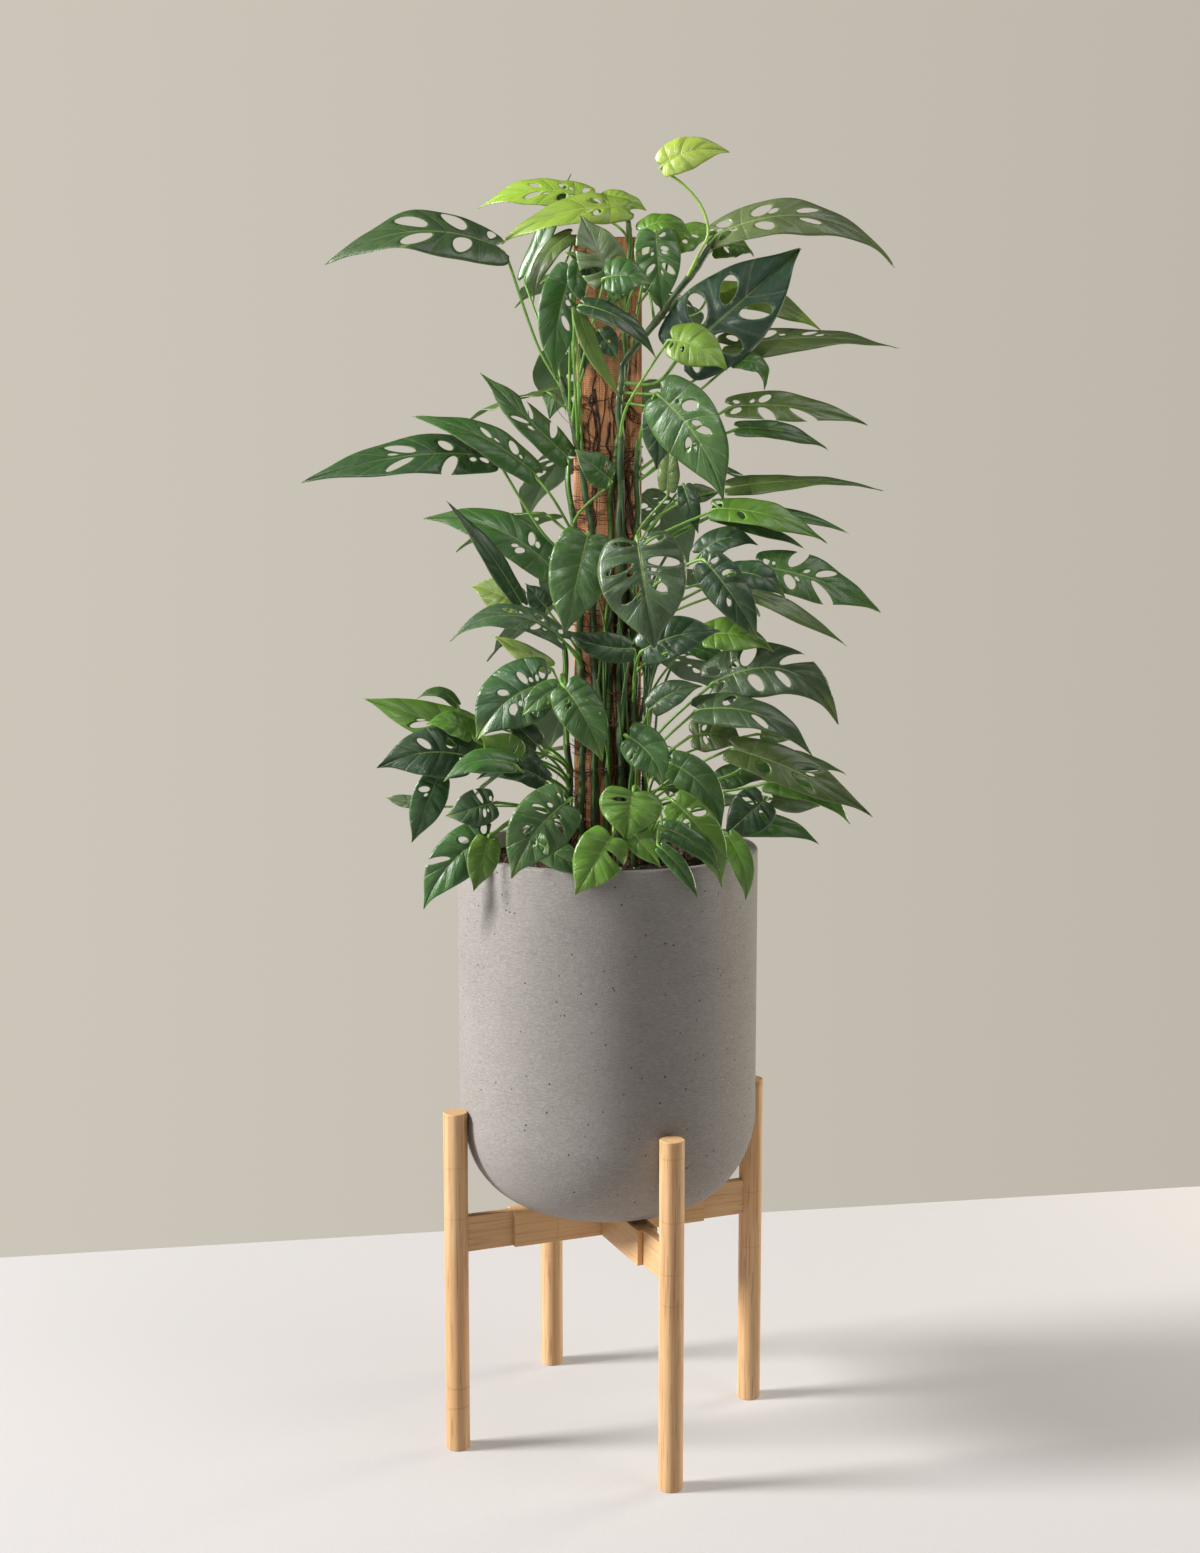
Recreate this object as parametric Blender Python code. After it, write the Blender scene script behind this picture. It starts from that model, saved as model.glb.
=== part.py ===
"""A swiss-cheese vine (Monstera adansonii) climbing a cedar board, in a round-bottomed pot held by a sliding wooden stand.

Units are metres, +Z is up, the floor is z = 0 and the front of the object faces -Y.
"""

import math
from collections import namedtuple

import bmesh
import bpy
from mathutils import Vector

MM = 0.001
GAP = 0.3 * MM  # air left between two pieces that touch

# Pot
POT_RADIUS = 158.3 * MM
POT_BASE = 254.7 * MM  # height of its flat foot above the floor
POT_HEIGHT = 384.3 * MM
POT_FOOT = 68.0 * MM  # radius of the flat foot
POT_CURVE = 102.0 * MM  # height of the curve between the foot and the straight wall
POT_WALL = 12.0 * MM
RIM_ROUNDING = 3.0 * MM
AROUND = 36  # sides of the turned pieces

# Soil and the board in it
SOIL_BELOW_RIM = 22.0 * MM
BOARD_WIDTH = 70.0 * MM
BOARD_THICK = 22.0 * MM
BOARD_TOP = 1265.0 * MM
BOARD_FOOT = 430.0 * MM  # how low it reaches inside the soil

# Stand: four round legs on bars that slide between the plates of two crossing sleeves
LEG_RADIUS = 12.7 * MM
LEG_HEIGHT = 368.0 * MM
LEG_CIRCLE = 171.5 * MM
LEG_CHAMFER = 1.5 * MM
LEG_SIDES = 20
STAND_TURN = math.radians(22.16)
BAR_THICK = 10.0 * MM
BAR_HEIGHT = 38.0 * MM
BAR_TOP = POT_BASE - GAP
BAR_INNER = 45.0 * MM  # where a bar ends inside its sleeve, from the middle
MORTISE = 8.0 * MM
PLATE_THICK = 6.0 * MM
PLATE_LENGTH = 220.0 * MM

# Leaves
EYE = Vector((0.0, -2.228, 1.015))  # where the front view is judged from
BLADE = 1.0 * MM  # thickness of a leaf
FOLD = 0.16  # how far the two halves rise from the midrib
DROOP = 0.22  # how far the margins fall again
ARCH = 0.07  # how far the midrib bulges to the front, as a share of the length
KNUCKLE = 5.0 * MM  # how far a stalk runs straight on from the blade before it bends
STEM_SIDES = 6
HOLED_FROM = 32.0  # a blade narrower than this (mm) is left whole

# A half of a blade: side veins leave the midrib at VEINS and end on the margin at RIM (along, out).
VEINS = (0.0, 0.10, 0.28, 0.50, 1.0)
RIM = ((-0.08, 0.42), (0.14, 0.94), (0.42, 0.97), (0.72, 0.60), (1.0, 0.0))
PLAIN_VEINS = (0.0, 0.14, 0.46, 1.0)
PLAIN_RIM = ((-0.06, 0.40), (0.16, 0.94), (0.56, 0.84), (1.0, 0.0))
HOLE = ((0.46, 0.10), (0.82, 0.44), (0.54, 0.90), (0.18, 0.56))
SLIT = ((0.26, 0.16), (0.74, 0.16), (0.68, 1.0), (0.32, 1.0))

# Colours
TAUPE = (0.215, 0.195, 0.178)
SOIL = (0.020, 0.014, 0.010)
CEDAR = (0.330, 0.135, 0.060)
BAMBOO = (0.600, 0.365, 0.170)
BLUE_GREEN = (0.030, 0.105, 0.058)
MID_GREEN = (0.045, 0.150, 0.028)
LIME = (0.270, 0.480, 0.040)

# A vine: the points of its stem as (side, height, depth) in mm, its radius in mm and its colour.
# Depth is how far a point lies in front of the board's middle.
VINES = {
    "vine_low_left": (((-41, 568, 8), (-41, 700, 8), (-43, 800, 10), (-46, 850, 18)), 4.0, MID_GREEN),
    "vine_mid_left": (((-27, 568, 16), (-27, 800, 16), (-31, 940, 17), (-41, 1035, 17)), 4.0, MID_GREEN),
    "vine_top_left": (
        ((-13, 568, 16), (-13, 850, 16), (-18, 980, 17), (-27, 1046, 18), (-49, 1126, 22)), 4.3, BLUE_GREEN),
    "vine_lime": (
        ((0, 568, 16), (0, 850, 16), (4, 1000, 16), (13, 1090, 16), (19, 1140, 17), (19, 1220, 17), (21, 1282, 16)),
        3.5, LIME),
    "vine_top_right": (
        ((13, 568, 16), (13, 850, 16), (14, 1000, 22), (11, 1090, 32), (16, 1138, 34), (58, 1194, 34), (104, 1257, 18)),
        4.3, BLUE_GREEN),
    "vine_mid_right": (((27, 568, 16), (27, 850, 16), (29, 960, 17), (32, 1062, 19)), 4.0, MID_GREEN),
    "vine_low_right": (((41, 568, 8), (41, 700, 8), (43, 800, 12)), 4.0, MID_GREEN),
    "vine_back_left": (((-18, 568, -16), (-18, 900, -16), (-19, 1215, -17)), 3.8, MID_GREEN),
    "vine_back_right": (((18, 568, -16), (18, 900, -16), (17, 1225, -17)), 3.8, MID_GREEN),
}

# A leaf: where its base and its tip are seen, in mm as above; its width as seen; its roll about the midrib in
# degrees; the bow of the midrib as a share of the length; its holes from base to tip, on the clockwise side and
# on the other (o a hole, s a slit open to the margin); the height at which its stalk leaves the stem; the points
# that the stalk passes; and the twist of the blade from base to tip.
Leaf = namedtuple("Leaf", "vine base tip wide roll bow holes start via twist", defaults=((), 0))

LEAVES = [
    # top left
    Leaf("vine_top_left", (-114, 1257, 30), (-289, 1237, 60), 42, -58, 0.13, "ooo:.oo", 1112,
         ((-72, 1158, 28), (-101, 1241, 28))),
    Leaf("vine_top_left", (-84, 1227, -25), (-37, 1330, -35), 20, 35, 0.0, "..s:.s.", 1085, ((-60, 1150, -5),)),
    Leaf("vine_top_left", (-38, 1268, 20), (-76, 1199, 24), 19, -35, 0.15, ".oo:...", 1118, ((-58, 1190, 12),)),
    Leaf("vine_top_left", (-37, 1230, 62), (-53, 1122, 66), 44, 8, 0.06, "...:ooo", 1100, ((-34, 1180, 36), (-36, 1226, 44))),
    Leaf("vine_top_left", (-6, 1221, 74), (-45, 1252, 82), 22, -30, 0.1, "", 1078),
    Leaf("vine_top_left", (-29, 1240, 88), (-25, 1199, 90), 20, 10, 0.1, "", 1090),
    Leaf("vine_top_left", (-30, 1191, 102), (15, 1103, 96), 16, 45, 0.04, "", 1062,
         ((-30, 1120, 66), (-35, 1182, 84))),
    Leaf("vine_top_left", (-24, 1198, 110), (50, 1144, 112), 20, 35, -0.12, "", 1060),
    Leaf("vine_top_left", (-8, 1172, 60), (10, 1143, 62), 26, 0, 0.0, "", 1080),
    Leaf("vine_top_left", (-20, 1174, 46), (-24, 1130, 48), 18, 10, 0.0, "", 1045),
    # lime shoots at the top
    Leaf("vine_lime", (-21, 1306, -16), (-133, 1294, -30), 30, -50, 0.10, "ooo:.oo", 1277),
    Leaf("vine_lime", (17, 1294, 12), (-111, 1259, 2), 34, -50, 0.10, ".o.:.o.", 1272),
    Leaf("vine_lime", (-6, 1300, -22), (40, 1292, -26), 22, 45, -0.12, "", 1262),
    Leaf("vine_lime", (4, 1222, 92), (-28, 1290, 84), 46, -15, 0.0, "oo.:sss", 1180),
    Leaf("vine_lime", (-1, 1226, 104), (44, 1219, 108), 34, 25, -0.10, "", 1170),
    Leaf("vine_lime", (24, 1222, 56), (-6, 1192, 58), 16, -25, 0.05, "", 1190),
    # top right
    Leaf("vine_top_right", (34, 1272, 26), (85, 1268, 26), 20, 50, -0.22, "", 1180),
    Leaf("vine_top_right", (49, 1270, 50), (55, 1191, 54), 46, 5, 0.0, ".oo:ooo", 1150),
    Leaf("vine_top_right", (66, 1258, 4), (113, 1268, -4), 27, 45, -0.15, ".oo:...", 1190),
    Leaf("vine_top_right", (114, 1270, 12), (293, 1234, -10), 40, 52, -0.18, "ooo:ooo", 1252),
    Leaf("vine_top_right", (66, 1163, 66), (123, 1132, 74), 42, 20, -0.10, "oo.:...", 1060,
         ((18, 1092, 52), (38, 1127, 62))),
    Leaf("vine_top_right", (107, 1254, -6), (149, 1246, -20), 24, 45, -0.2, ".o.:...", 1235),
    Leaf("vine_top_right", (56, 1337, 40), (124, 1349, 40), 32, 25, -0.12, "", 1225,
         ((92, 1248, 38), (102, 1270, 40), (95, 1296, 40), (76, 1318, 40))),
    Leaf("vine_top_right", (77, 1150, 40), (198, 1257, 14), 86, 12, 0.0, "ooo:ooo", 1120, ((50, 1120, 42),)),
    Leaf("vine_top_right", (109, 1212, -20), (220, 1171, -26), 27, 45, -0.08, "", 1185, ((90, 1190, -2),)),
    Leaf("vine_top_right", (125, 1157, 8), (299, 1155, -46), 32, 40, -0.05, "...:ooo", 1110,
         ((60, 1110, 46), (100, 1130, 30)), 40),
    Leaf("vine_top_right", (131, 1141, 42), (161, 1112, 46), 18, 40, -0.35, "", 1100, ((70, 1098, 50),)),
    # middle right
    Leaf("vine_mid_right", (54, 1106, 104), (120, 1000, 116), 64, -12, -0.08, "..o:.oo", 1050),
    Leaf("vine_mid_right", (56, 1100, 84), (50, 1031, 84), 38, 0, 0.0, "", 1054),
    Leaf("vine_mid_right", (62, 1012, 44), (64, 1065, 46), 22, 20, 0.0, "", 960),
    Leaf("vine_mid_right", (129, 1096, 32), (269, 1077, 24), 28, 38, -0.06, "oss:oo.", 1030, ((85, 1070, 34),)),
    Leaf("vine_mid_right", (136, 1074, 12), (229, 1051, 0), 18, 45, -0.08, ".o.:...", 1020, ((80, 1052, 20),)),
    Leaf("vine_mid_right", (130, 1014, 22), (286, 1011, 4), 21, 45, -0.05, "...:so.", 970, ((80, 1000, 28),), 40),
    Leaf("vine_mid_right", (113, 992, 52), (229, 956, 60), 27, 40, -0.08, ".o.:o..", 940),
    Leaf("vine_mid_right", (116, 990, 26), (251, 966, 14), 16, 45, -0.06, "", 930),
    Leaf("vine_mid_right", (112, 984, 24), (206, 950, -2), 15, 45, -0.04, "", 920),
    Leaf("vine_mid_right", (84, 1008, 22), (116, 1008, 18), 19, 25, 0.0, "", 945),
    Leaf("vine_mid_right", (79, 1014, 30), (94, 966, 34), 22, 0, 0.0, ".o.:o..", 932),
    Leaf("vine_mid_right", (31, 958, 148), (49, 846, 156), 86, 0, 0.0, "ooo:ooo", 900),
    Leaf("vine_mid_right", (160, 932, 26), (285, 884, 16), 44, 35, -0.06, "sos:oso", 870, ((100, 910, 34),)),
    Leaf("vine_mid_right", (96, 946, 62), (157, 954, 60), 26, 28, -0.2, ".o.:oo.", 890),
    Leaf("vine_mid_right", (129, 926, 80), (186, 898, 84), 28, 35, -0.15, "", 875),
    Leaf("vine_mid_right", (103, 936, 100), (157, 853, 106), 42, 8, -0.04, "..o:oo.", 880),
    Leaf("vine_mid_right", (139, 909, 60), (250, 849, 52), 17, 40, -0.04, ".o.:.o.", 850),
    Leaf("vine_mid_right", (103, 861, 66), (174, 844, 68), 32, 35, -0.12, "", 815),
    Leaf("vine_mid_right", (38, 846, 112), (119, 865, 116), 42, 15, -0.08, ".o.:...", 800),
    # middle left
    Leaf("vine_mid_left", (-21, 963, 134), (-46, 860, 140), 60, 4, 0.0, "", 890),
    Leaf("vine_mid_left", (-126, 1046, 44), (-318, 1018, 90), 40, -40, 0.06, "ooo:oso", 935,
         ((-63, 962, 40), (-89, 1000, 42), (-112, 1038, 44))),
    Leaf("vine_mid_left", (-77, 1029, 56), (-202, 1086, 60), 31, -38, 0.08, ".oo:...", 962, ((-55, 1000, 52),)),
    Leaf("vine_mid_left", (-43, 1046, 24), (-132, 1131, 14), 31, -32, 0.0, "oss:..o", 990, ((-41, 1015, 28),)),
    Leaf("vine_mid_left", (-60, 933, 40), (-193, 982, 26), 42, -22, 0.12, "oo.:.o.", 880),
    Leaf("vine_mid_left", (-91, 896, 68), (-167, 1001, 66), 20, -40, 0.03, "", 830),
    Leaf("vine_mid_left", (-92, 893, 30), (-143, 912, 22), 36, -15, 0.05, "oo.:...", 825),
    Leaf("vine_mid_left", (-64, 890, 36), (-86, 915, 34), 24, -15, 0.0, ".o.:...", 835),
    Leaf("vine_mid_left", (1, 1023, 62), (-34, 1053, 66), 30, -30, 0.0, ".o.:...", 975),
    Leaf("vine_mid_right", (23, 847, 66), (-44, 867, 70), 30, -18, -0.08, "", 790),
    # lower left
    Leaf("vine_low_left", (-48, 858, 84), (-167, 854, 98), 26, -45, 0.22, "ooo:oo.", 790),
    Leaf("vine_low_left", (-61, 828, 44), (-121, 862, 38), 20, -25, 0.0, "o..:...", 780),
    Leaf("vine_low_left", (-64, 811, 104), (-139, 749, 112), 66, -12, 0.12, "ooo:ooo", 745),
    Leaf("vine_low_left", (-44, 806, 140), (-5, 727, 150), 46, 8, -0.05, ".o.:...", 805),
    Leaf("vine_low_left", (-52, 806, 130), (-90, 776, 138), 26, -10, 0.06, "", 790),
    Leaf("vine_low_left", (-134, 756, 52), (-257, 795, 50), 40, -22, 0.0, "...:..o", 700),
    Leaf("vine_low_left", (-147, 734, 86), (-244, 721, 96), 52, -12, 0.10, ".oo:o..", 690),
    Leaf("vine_low_left", (-143, 758, 98), (-192, 768, 104), 24, -35, 0.15, "", 705),
    Leaf("vine_low_left", (-158, 789, 70), (-200, 794, 76), 12, -30, 0.25, "", 720),
    Leaf("vine_low_left", (-95, 729, 124), (-134, 756, 136), 40, -10, 0.0, ".o.:.o.", 680),
    Leaf("vine_low_left", (-74, 746, 96), (-108, 779, 100), 27, -10, 0.0, "s..:.o.", 700),
    Leaf("vine_low_left", (-100, 726, 146), (-173, 706, 156), 24, -30, 0.16, "", 665),
    Leaf("vine_low_left", (-104, 744, 104), (-66, 727, 110), 20, 10, 0.0, "", 715),
    Leaf("vine_low_left", (-179, 711, 76), (-207, 641, 80), 35, 8, 0.0, ".o.:...", 675),
    Leaf("vine_low_left", (-199, 684, 44), (-235, 690, 38), 14, -18, 0.0, "", 662),
    Leaf("vine_low_left", (-121, 684, 96), (-172, 670, 104), 38, -10, 0.0, "os.:.o.", 655),
    Leaf("vine_low_left", (-66, 708, 122), (-139, 709, 128), 27, -25, 0.18, ".o.:...", 660),
    Leaf("vine_low_left", (-45, 684, 160), (-102, 602, 168), 60, 0, 0.08, "ooo:.oo", 650),
    Leaf("vine_low_left", (-126, 645, 116), (-142, 589, 124), 32, 8, 0.0, "", 640, ((-90, 668, 80),)),
    Leaf("vine_low_left", (-125, 650, 102), (-196, 569, 106), 48, -8, 0.10, "oos:o..", 636, ((-90, 664, 60),)),
    Leaf("vine_low_left", (-72, 656, 142), (-100, 619, 150), 22, 0, 0.0, "", 642),
    Leaf("vine_low_left", (-71, 640, 154), (-15, 607, 166), 30, -8, 0.0, ".o.:...", 634, ((-60, 664, 132),)),
    # lower right
    Leaf("vine_low_right", (4, 648, 170), (-35, 585, 180), 50, 0, 0.0, "...:.s.", 640, ((10, 672, 142),)),
    Leaf("vine_low_right", (27, 696, 160), (18, 645, 170), 62, 0, 0.0, ".o.:...", 655),
    Leaf("vine_low_right", (25, 656, 162), (57, 615, 170), 26, 0, 0.0, ".o.:...", 632, ((30, 664, 130),)),
    Leaf("vine_low_right", (23, 754, 140), (58, 703, 150), 42, 0, -0.12, ".o.:...", 700),
    Leaf("vine_low_right", (68, 726, 118), (120, 655, 124), 37, 8, -0.14, "", 675),
    Leaf("vine_low_right", (72, 684, 140), (121, 593, 140), 39, 8, -0.10, ".o.:.o.", 648),
    Leaf("vine_low_right", (128, 648, 108), (146, 579, 108), 24, 0, -0.1, "", 636, ((90, 664, 80),)),
    Leaf("vine_low_right", (62, 657, 148), (120, 608, 150), 24, 12, -0.1, "", 645, ((55, 672, 110),)),
    Leaf("vine_low_right", (57, 636, 172), (96, 581, 168), 17, 8, -0.06, "", 626, ((52, 662, 148),)),
    Leaf("vine_low_right", (165, 687, 62), (123, 650, 58), 46, 0, 0.0, ".o.:.o.", 668),
    Leaf("vine_low_right", (175, 689, 22), (225, 681, 14), 23, 25, 0.0, ".o.:.o.", 650),
    Leaf("vine_low_right", (138, 658, 34), (224, 640, 30), 25, 18, -0.12, ".oo:.o.", 645),
    Leaf("vine_low_right", (169, 706, 62), (256, 661, 60), 27, 28, -0.15, ".o.:...", 662),
    Leaf("vine_low_right", (134, 741, 72), (281, 669, 78), 38, 30, -0.05, ".oo:..o", 680),
    Leaf("vine_low_right", (144, 723, 42), (252, 714, 24), 21, 42, -0.1, ".o.:...", 670),
    Leaf("vine_low_right", (118, 708, 28), (169, 707, 20), 25, 30, -0.15, ".o.:...", 690),
    Leaf("vine_low_right", (96, 783, 84), (216, 733, 96), 33, 38, -0.15, "..o:.o.", 720),
    Leaf("vine_low_right", (113, 813, 62), (244, 766, 58), 54, 28, -0.26, "ooo:oos", 735),
    Leaf("vine_low_right", (47, 786, 78), (100, 808, 80), 28, 15, -0.1, ".o.:s..", 745),
    Leaf("vine_low_right", (90, 756, 60), (145, 747, 58), 35, 28, -0.1, ".o.:.o.", 710),
    Leaf("vine_low_right", (88, 848, 40), (138, 826, 38), 17, 35, -0.05, ".s.:...", 790),
    Leaf("vine_low_right", (162, 757, 2), (192, 751, -4), 13, 20, 0.0, "", 700),
]

# Leaves on the side that the photo doesn't show. Their width is the real one and their roll is from lying flat.
BACK_LEAVES = [
    Leaf("vine_back_left", (-42, 1232, -52), (-96, 1196, -140), 58, 14, 0.05, ".o.:.oo", 1180),
    Leaf("vine_back_left", (-34, 1150, -60), (-60, 1084, -160), 68, -10, 0.0, ".oo:o..", 1090),
    Leaf("vine_back_left", (-62, 1110, -44), (-150, 1076, -112), 52, 12, 0.05, ".oo:.o.", 1060),
    Leaf("vine_back_left", (-36, 1052, -62), (-88, 978, -166), 72, 8, 0.0, ".o.:.oo", 1000),
    Leaf("vine_back_left", (-62, 985, -46), (-158, 946, -106), 56, -12, 0.05, ".oo:o..", 935),
    Leaf("vine_back_left", (-32, 946, -66), (-48, 872, -170), 72, 6, 0.0, ".oo:.o.", 890),
    Leaf("vine_back_left", (-56, 893, -56), (-128, 834, -142), 66, 14, 0.05, ".o.:.oo", 840),
    Leaf("vine_back_left", (-34, 800, -66), (-66, 732, -172), 70, 10, 0.0, ".oo:.o.", 745),
    Leaf("vine_back_left", (-60, 738, -56), (-142, 694, -138), 60, 6, 0.05, ".o.:.oo", 690),
    Leaf("vine_back_right", (44, 1212, -54), (92, 1168, -146), 60, -12, 0.05, ".oo:.o.", 1165),
    Leaf("vine_back_right", (30, 1118, -66), (54, 1046, -166), 72, 8, 0.0, ".oo:o..", 1060),
    Leaf("vine_back_right", (64, 1046, -46), (152, 1010, -118), 56, -10, 0.05, ".oo:.o.", 995),
    Leaf("vine_back_right", (34, 1006, -64), (84, 930, -164), 70, 10, 0.0, ".o.:.oo", 950),
    Leaf("vine_back_right", (64, 926, -48), (160, 882, -110), 58, 12, 0.05, ".oo:o..", 875),
    Leaf("vine_back_right", (30, 892, -68), (42, 816, -172), 72, -6, 0.0, ".oo:.o.", 835),
    Leaf("vine_back_right", (58, 842, -58), (132, 784, -146), 64, 8, 0.05, ".o.:.oo", 785),
    Leaf("vine_back_right", (34, 752, -66), (64, 690, -176), 66, -8, 0.0, ".oo:.o.", 700),
    Leaf("vine_back_right", (64, 700, -52), (150, 668, -128), 54, 10, 0.05, ".o.:.oo", 655),
]


def clear_scene():
    for obj in list(bpy.data.objects):
        bpy.data.objects.remove(obj, do_unlink=True)


def material(name, colour, roughness):
    """A plain Principled material of this colour, made once."""
    found = bpy.data.materials.get(name)
    if found:
        return found
    made = bpy.data.materials.new(name)
    made.use_nodes = True
    shader = made.node_tree.nodes["Principled BSDF"]
    shader.inputs["Base Color"].default_value = (*colour, 1.0)
    shader.inputs["Roughness"].default_value = roughness
    made.diffuse_color = (*colour, 1.0)
    return made


def new_object(name, work, smooth=False):
    """An object from a bmesh, its faces looking outwards."""
    bmesh.ops.recalc_face_normals(work, faces=work.faces)
    mesh = bpy.data.meshes.new(name)
    work.to_mesh(mesh)
    work.free()
    for polygon in mesh.polygons:
        polygon.use_smooth = smooth
    obj = bpy.data.objects.new(name, mesh)
    bpy.context.scene.collection.objects.link(obj)
    return obj


def from_lists(name, verts, faces):
    """An object from lists of vertices and faces."""
    work = bmesh.new()
    made = [work.verts.new(v) for v in verts]
    for face in faces:
        work.faces.new([made[i] for i in face])
    return new_object(name, work)


def paint(obj, name, colour, roughness=0.6):
    obj.data.materials.clear()
    obj.data.materials.append(material(name, colour, roughness))
    return obj


def combine(obj, others, operation, solver="EXACT"):
    """Applies one Boolean with all of the other objects, and removes them."""
    group = bpy.data.collections.new("pieces")
    for other in others:
        bpy.context.scene.collection.objects.unlink(other)
        group.objects.link(other)
    bpy.context.scene.collection.children.link(group)
    boolean = obj.modifiers.new("combine", "BOOLEAN")
    boolean.operation = operation
    boolean.operand_type = "COLLECTION"
    boolean.collection = group
    boolean.solver = solver
    graph = bpy.context.evaluated_depsgraph_get()
    mesh = bpy.data.meshes.new_from_object(obj.evaluated_get(graph))
    obj.modifiers.clear()
    obj.data = mesh
    for other in others:
        bpy.data.objects.remove(other, do_unlink=True)
    bpy.data.collections.remove(group)
    return obj


# Turned and flat pieces

def turned(name, profile, smooth=True):
    """A solid of revolution: a profile of (radius, height) that starts and ends on the axis, spun about Z."""
    work = bmesh.new()
    verts = [work.verts.new((radius, 0, height)) for radius, height in profile]
    edges = [work.edges.new(pair) for pair in zip(verts, verts[1:])]
    bmesh.ops.spin(work, geom=verts + edges, cent=(0, 0, 0), axis=(0, 0, 1), angle=2 * math.pi, steps=AROUND)
    bmesh.ops.remove_doubles(work, verts=work.verts, dist=0.01 * MM)
    return new_object(name, work, smooth)


def box(name, low, high):
    """A box between two corners."""
    work = bmesh.new()
    bmesh.ops.create_cube(work, size=1.0)
    size = Vector(high) - Vector(low)
    for vert in work.verts:
        vert.co = Vector(low) + Vector((size.x * (vert.co.x + 0.5), size.y * (vert.co.y + 0.5),
                                        size.z * (vert.co.z + 0.5)))
    return new_object(name, work)


def rod(name, radius, low, high, sides, chamfer=0.0):
    """An upright round rod with chamfered ends."""
    work = bmesh.new()
    bmesh.ops.create_cone(work, cap_ends=True, segments=sides, radius1=radius, radius2=radius, depth=high - low)
    bmesh.ops.translate(work, verts=work.verts, vec=(0, 0, (low + high) / 2))
    if chamfer:
        ends = [edge for edge in work.edges if abs(edge.verts[0].co.z - edge.verts[1].co.z) < GAP]
        bmesh.ops.bevel(work, geom=ends, offset=chamfer, segments=1, affect="EDGES")
    return new_object(name, work, smooth=True)


def tube(points, radii, sides):
    """The vertices and faces of a closed tube along some points."""
    verts, faces = [], []
    normal = Vector((0.31, 0.17, 0.94))
    for i, point in enumerate(points):
        ahead = points[min(i + 1, len(points) - 1)] - points[max(i - 1, 0)]
        ahead.normalize()
        normal = (normal - ahead * normal.dot(ahead)).normalized()
        other = ahead.cross(normal)
        for k in range(sides):
            angle = 2 * math.pi * k / sides
            verts.append(point + (normal * math.cos(angle) + other * math.sin(angle)) * radii[i])
    for i in range(len(points) - 1):
        for k in range(sides):
            n = (k + 1) % sides
            faces.append((i * sides + k, i * sides + n, (i + 1) * sides + n, (i + 1) * sides + k))
    last = (len(points) - 1) * sides
    faces += [tuple(range(sides - 1, -1, -1)), tuple(range(last, last + sides))]
    return verts, faces


# Pot, soil and board

def pot_curve(inset, steps=4):
    """The round between the foot and the straight wall, inset mm inside the pot's outer face."""
    reach, rise = POT_RADIUS - POT_FOOT - inset, POT_CURVE - inset
    angles = [math.pi / 2 * i / steps for i in range(steps + 1)]
    return [(POT_FOOT + reach * math.sin(a), POT_BASE + POT_CURVE - rise * math.cos(a)) for a in angles]


def make_pot():
    top = POT_BASE + POT_HEIGHT
    inner = POT_RADIUS - POT_WALL
    outside = [(0, POT_BASE)] + pot_curve(0) + [
        (POT_RADIUS, top - RIM_ROUNDING), (POT_RADIUS - RIM_ROUNDING / 3, top - RIM_ROUNDING / 3),
        (POT_RADIUS - RIM_ROUNDING, top)]
    inside = [(inner + RIM_ROUNDING, top), (inner + RIM_ROUNDING / 3, top - RIM_ROUNDING / 3),
              (inner, top - RIM_ROUNDING)] + pot_curve(POT_WALL)[::-1] + [(0, POT_BASE + POT_WALL)]
    return paint(turned("pot", outside + inside), "pot_ceramic", TAUPE, 0.75)


def stem_hole(name, points, radius):
    """A plain round hole in the soil for the foot of a stem."""
    foot = seen(*points[0])
    hole = rod(name, (radius * MM + GAP) / math.cos(math.pi / 8), foot.z - GAP, POT_BASE + POT_HEIGHT, 8)
    hole.location = (foot.x, foot.y, 0)
    return hole


def make_soil():
    top = POT_BASE + POT_HEIGHT - SOIL_BELOW_RIM
    profile = [(0, POT_BASE + POT_WALL + GAP)] + pot_curve(POT_WALL + GAP)
    soil = turned("soil", profile + [(POT_RADIUS - POT_WALL - GAP, top), (0, top)], smooth=False)
    wide, deep = BOARD_WIDTH / 2 + GAP, BOARD_THICK / 2 + GAP
    cutters = [box("slot", (-wide, -deep, BOARD_FOOT - GAP), (wide, deep, BOARD_TOP))]
    cutters += [stem_hole("hole_" + name, points, radius) for name, (points, radius, _) in VINES.items()]
    return paint(combine(soil, cutters, "DIFFERENCE"), "soil", SOIL, 0.95)


def make_board():
    wide, deep = BOARD_WIDTH / 2, BOARD_THICK / 2
    return paint(box("board", (-wide, -deep, BOARD_FOOT), (wide, deep, BOARD_TOP)), "cedar", CEDAR, 0.85)


# Stand: its pieces are modelled about the middle of the bars, and hung on empties turned to their arms

def arm_empty(name, turn):
    """An empty on the line along which an arm slides."""
    empty = bpy.data.objects.new(name, None)
    empty.location = (0, 0, BAR_TOP - BAR_HEIGHT / 2)
    empty.rotation_euler = (0, 0, turn)
    bpy.context.scene.collection.objects.link(empty)
    return empty


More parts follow.
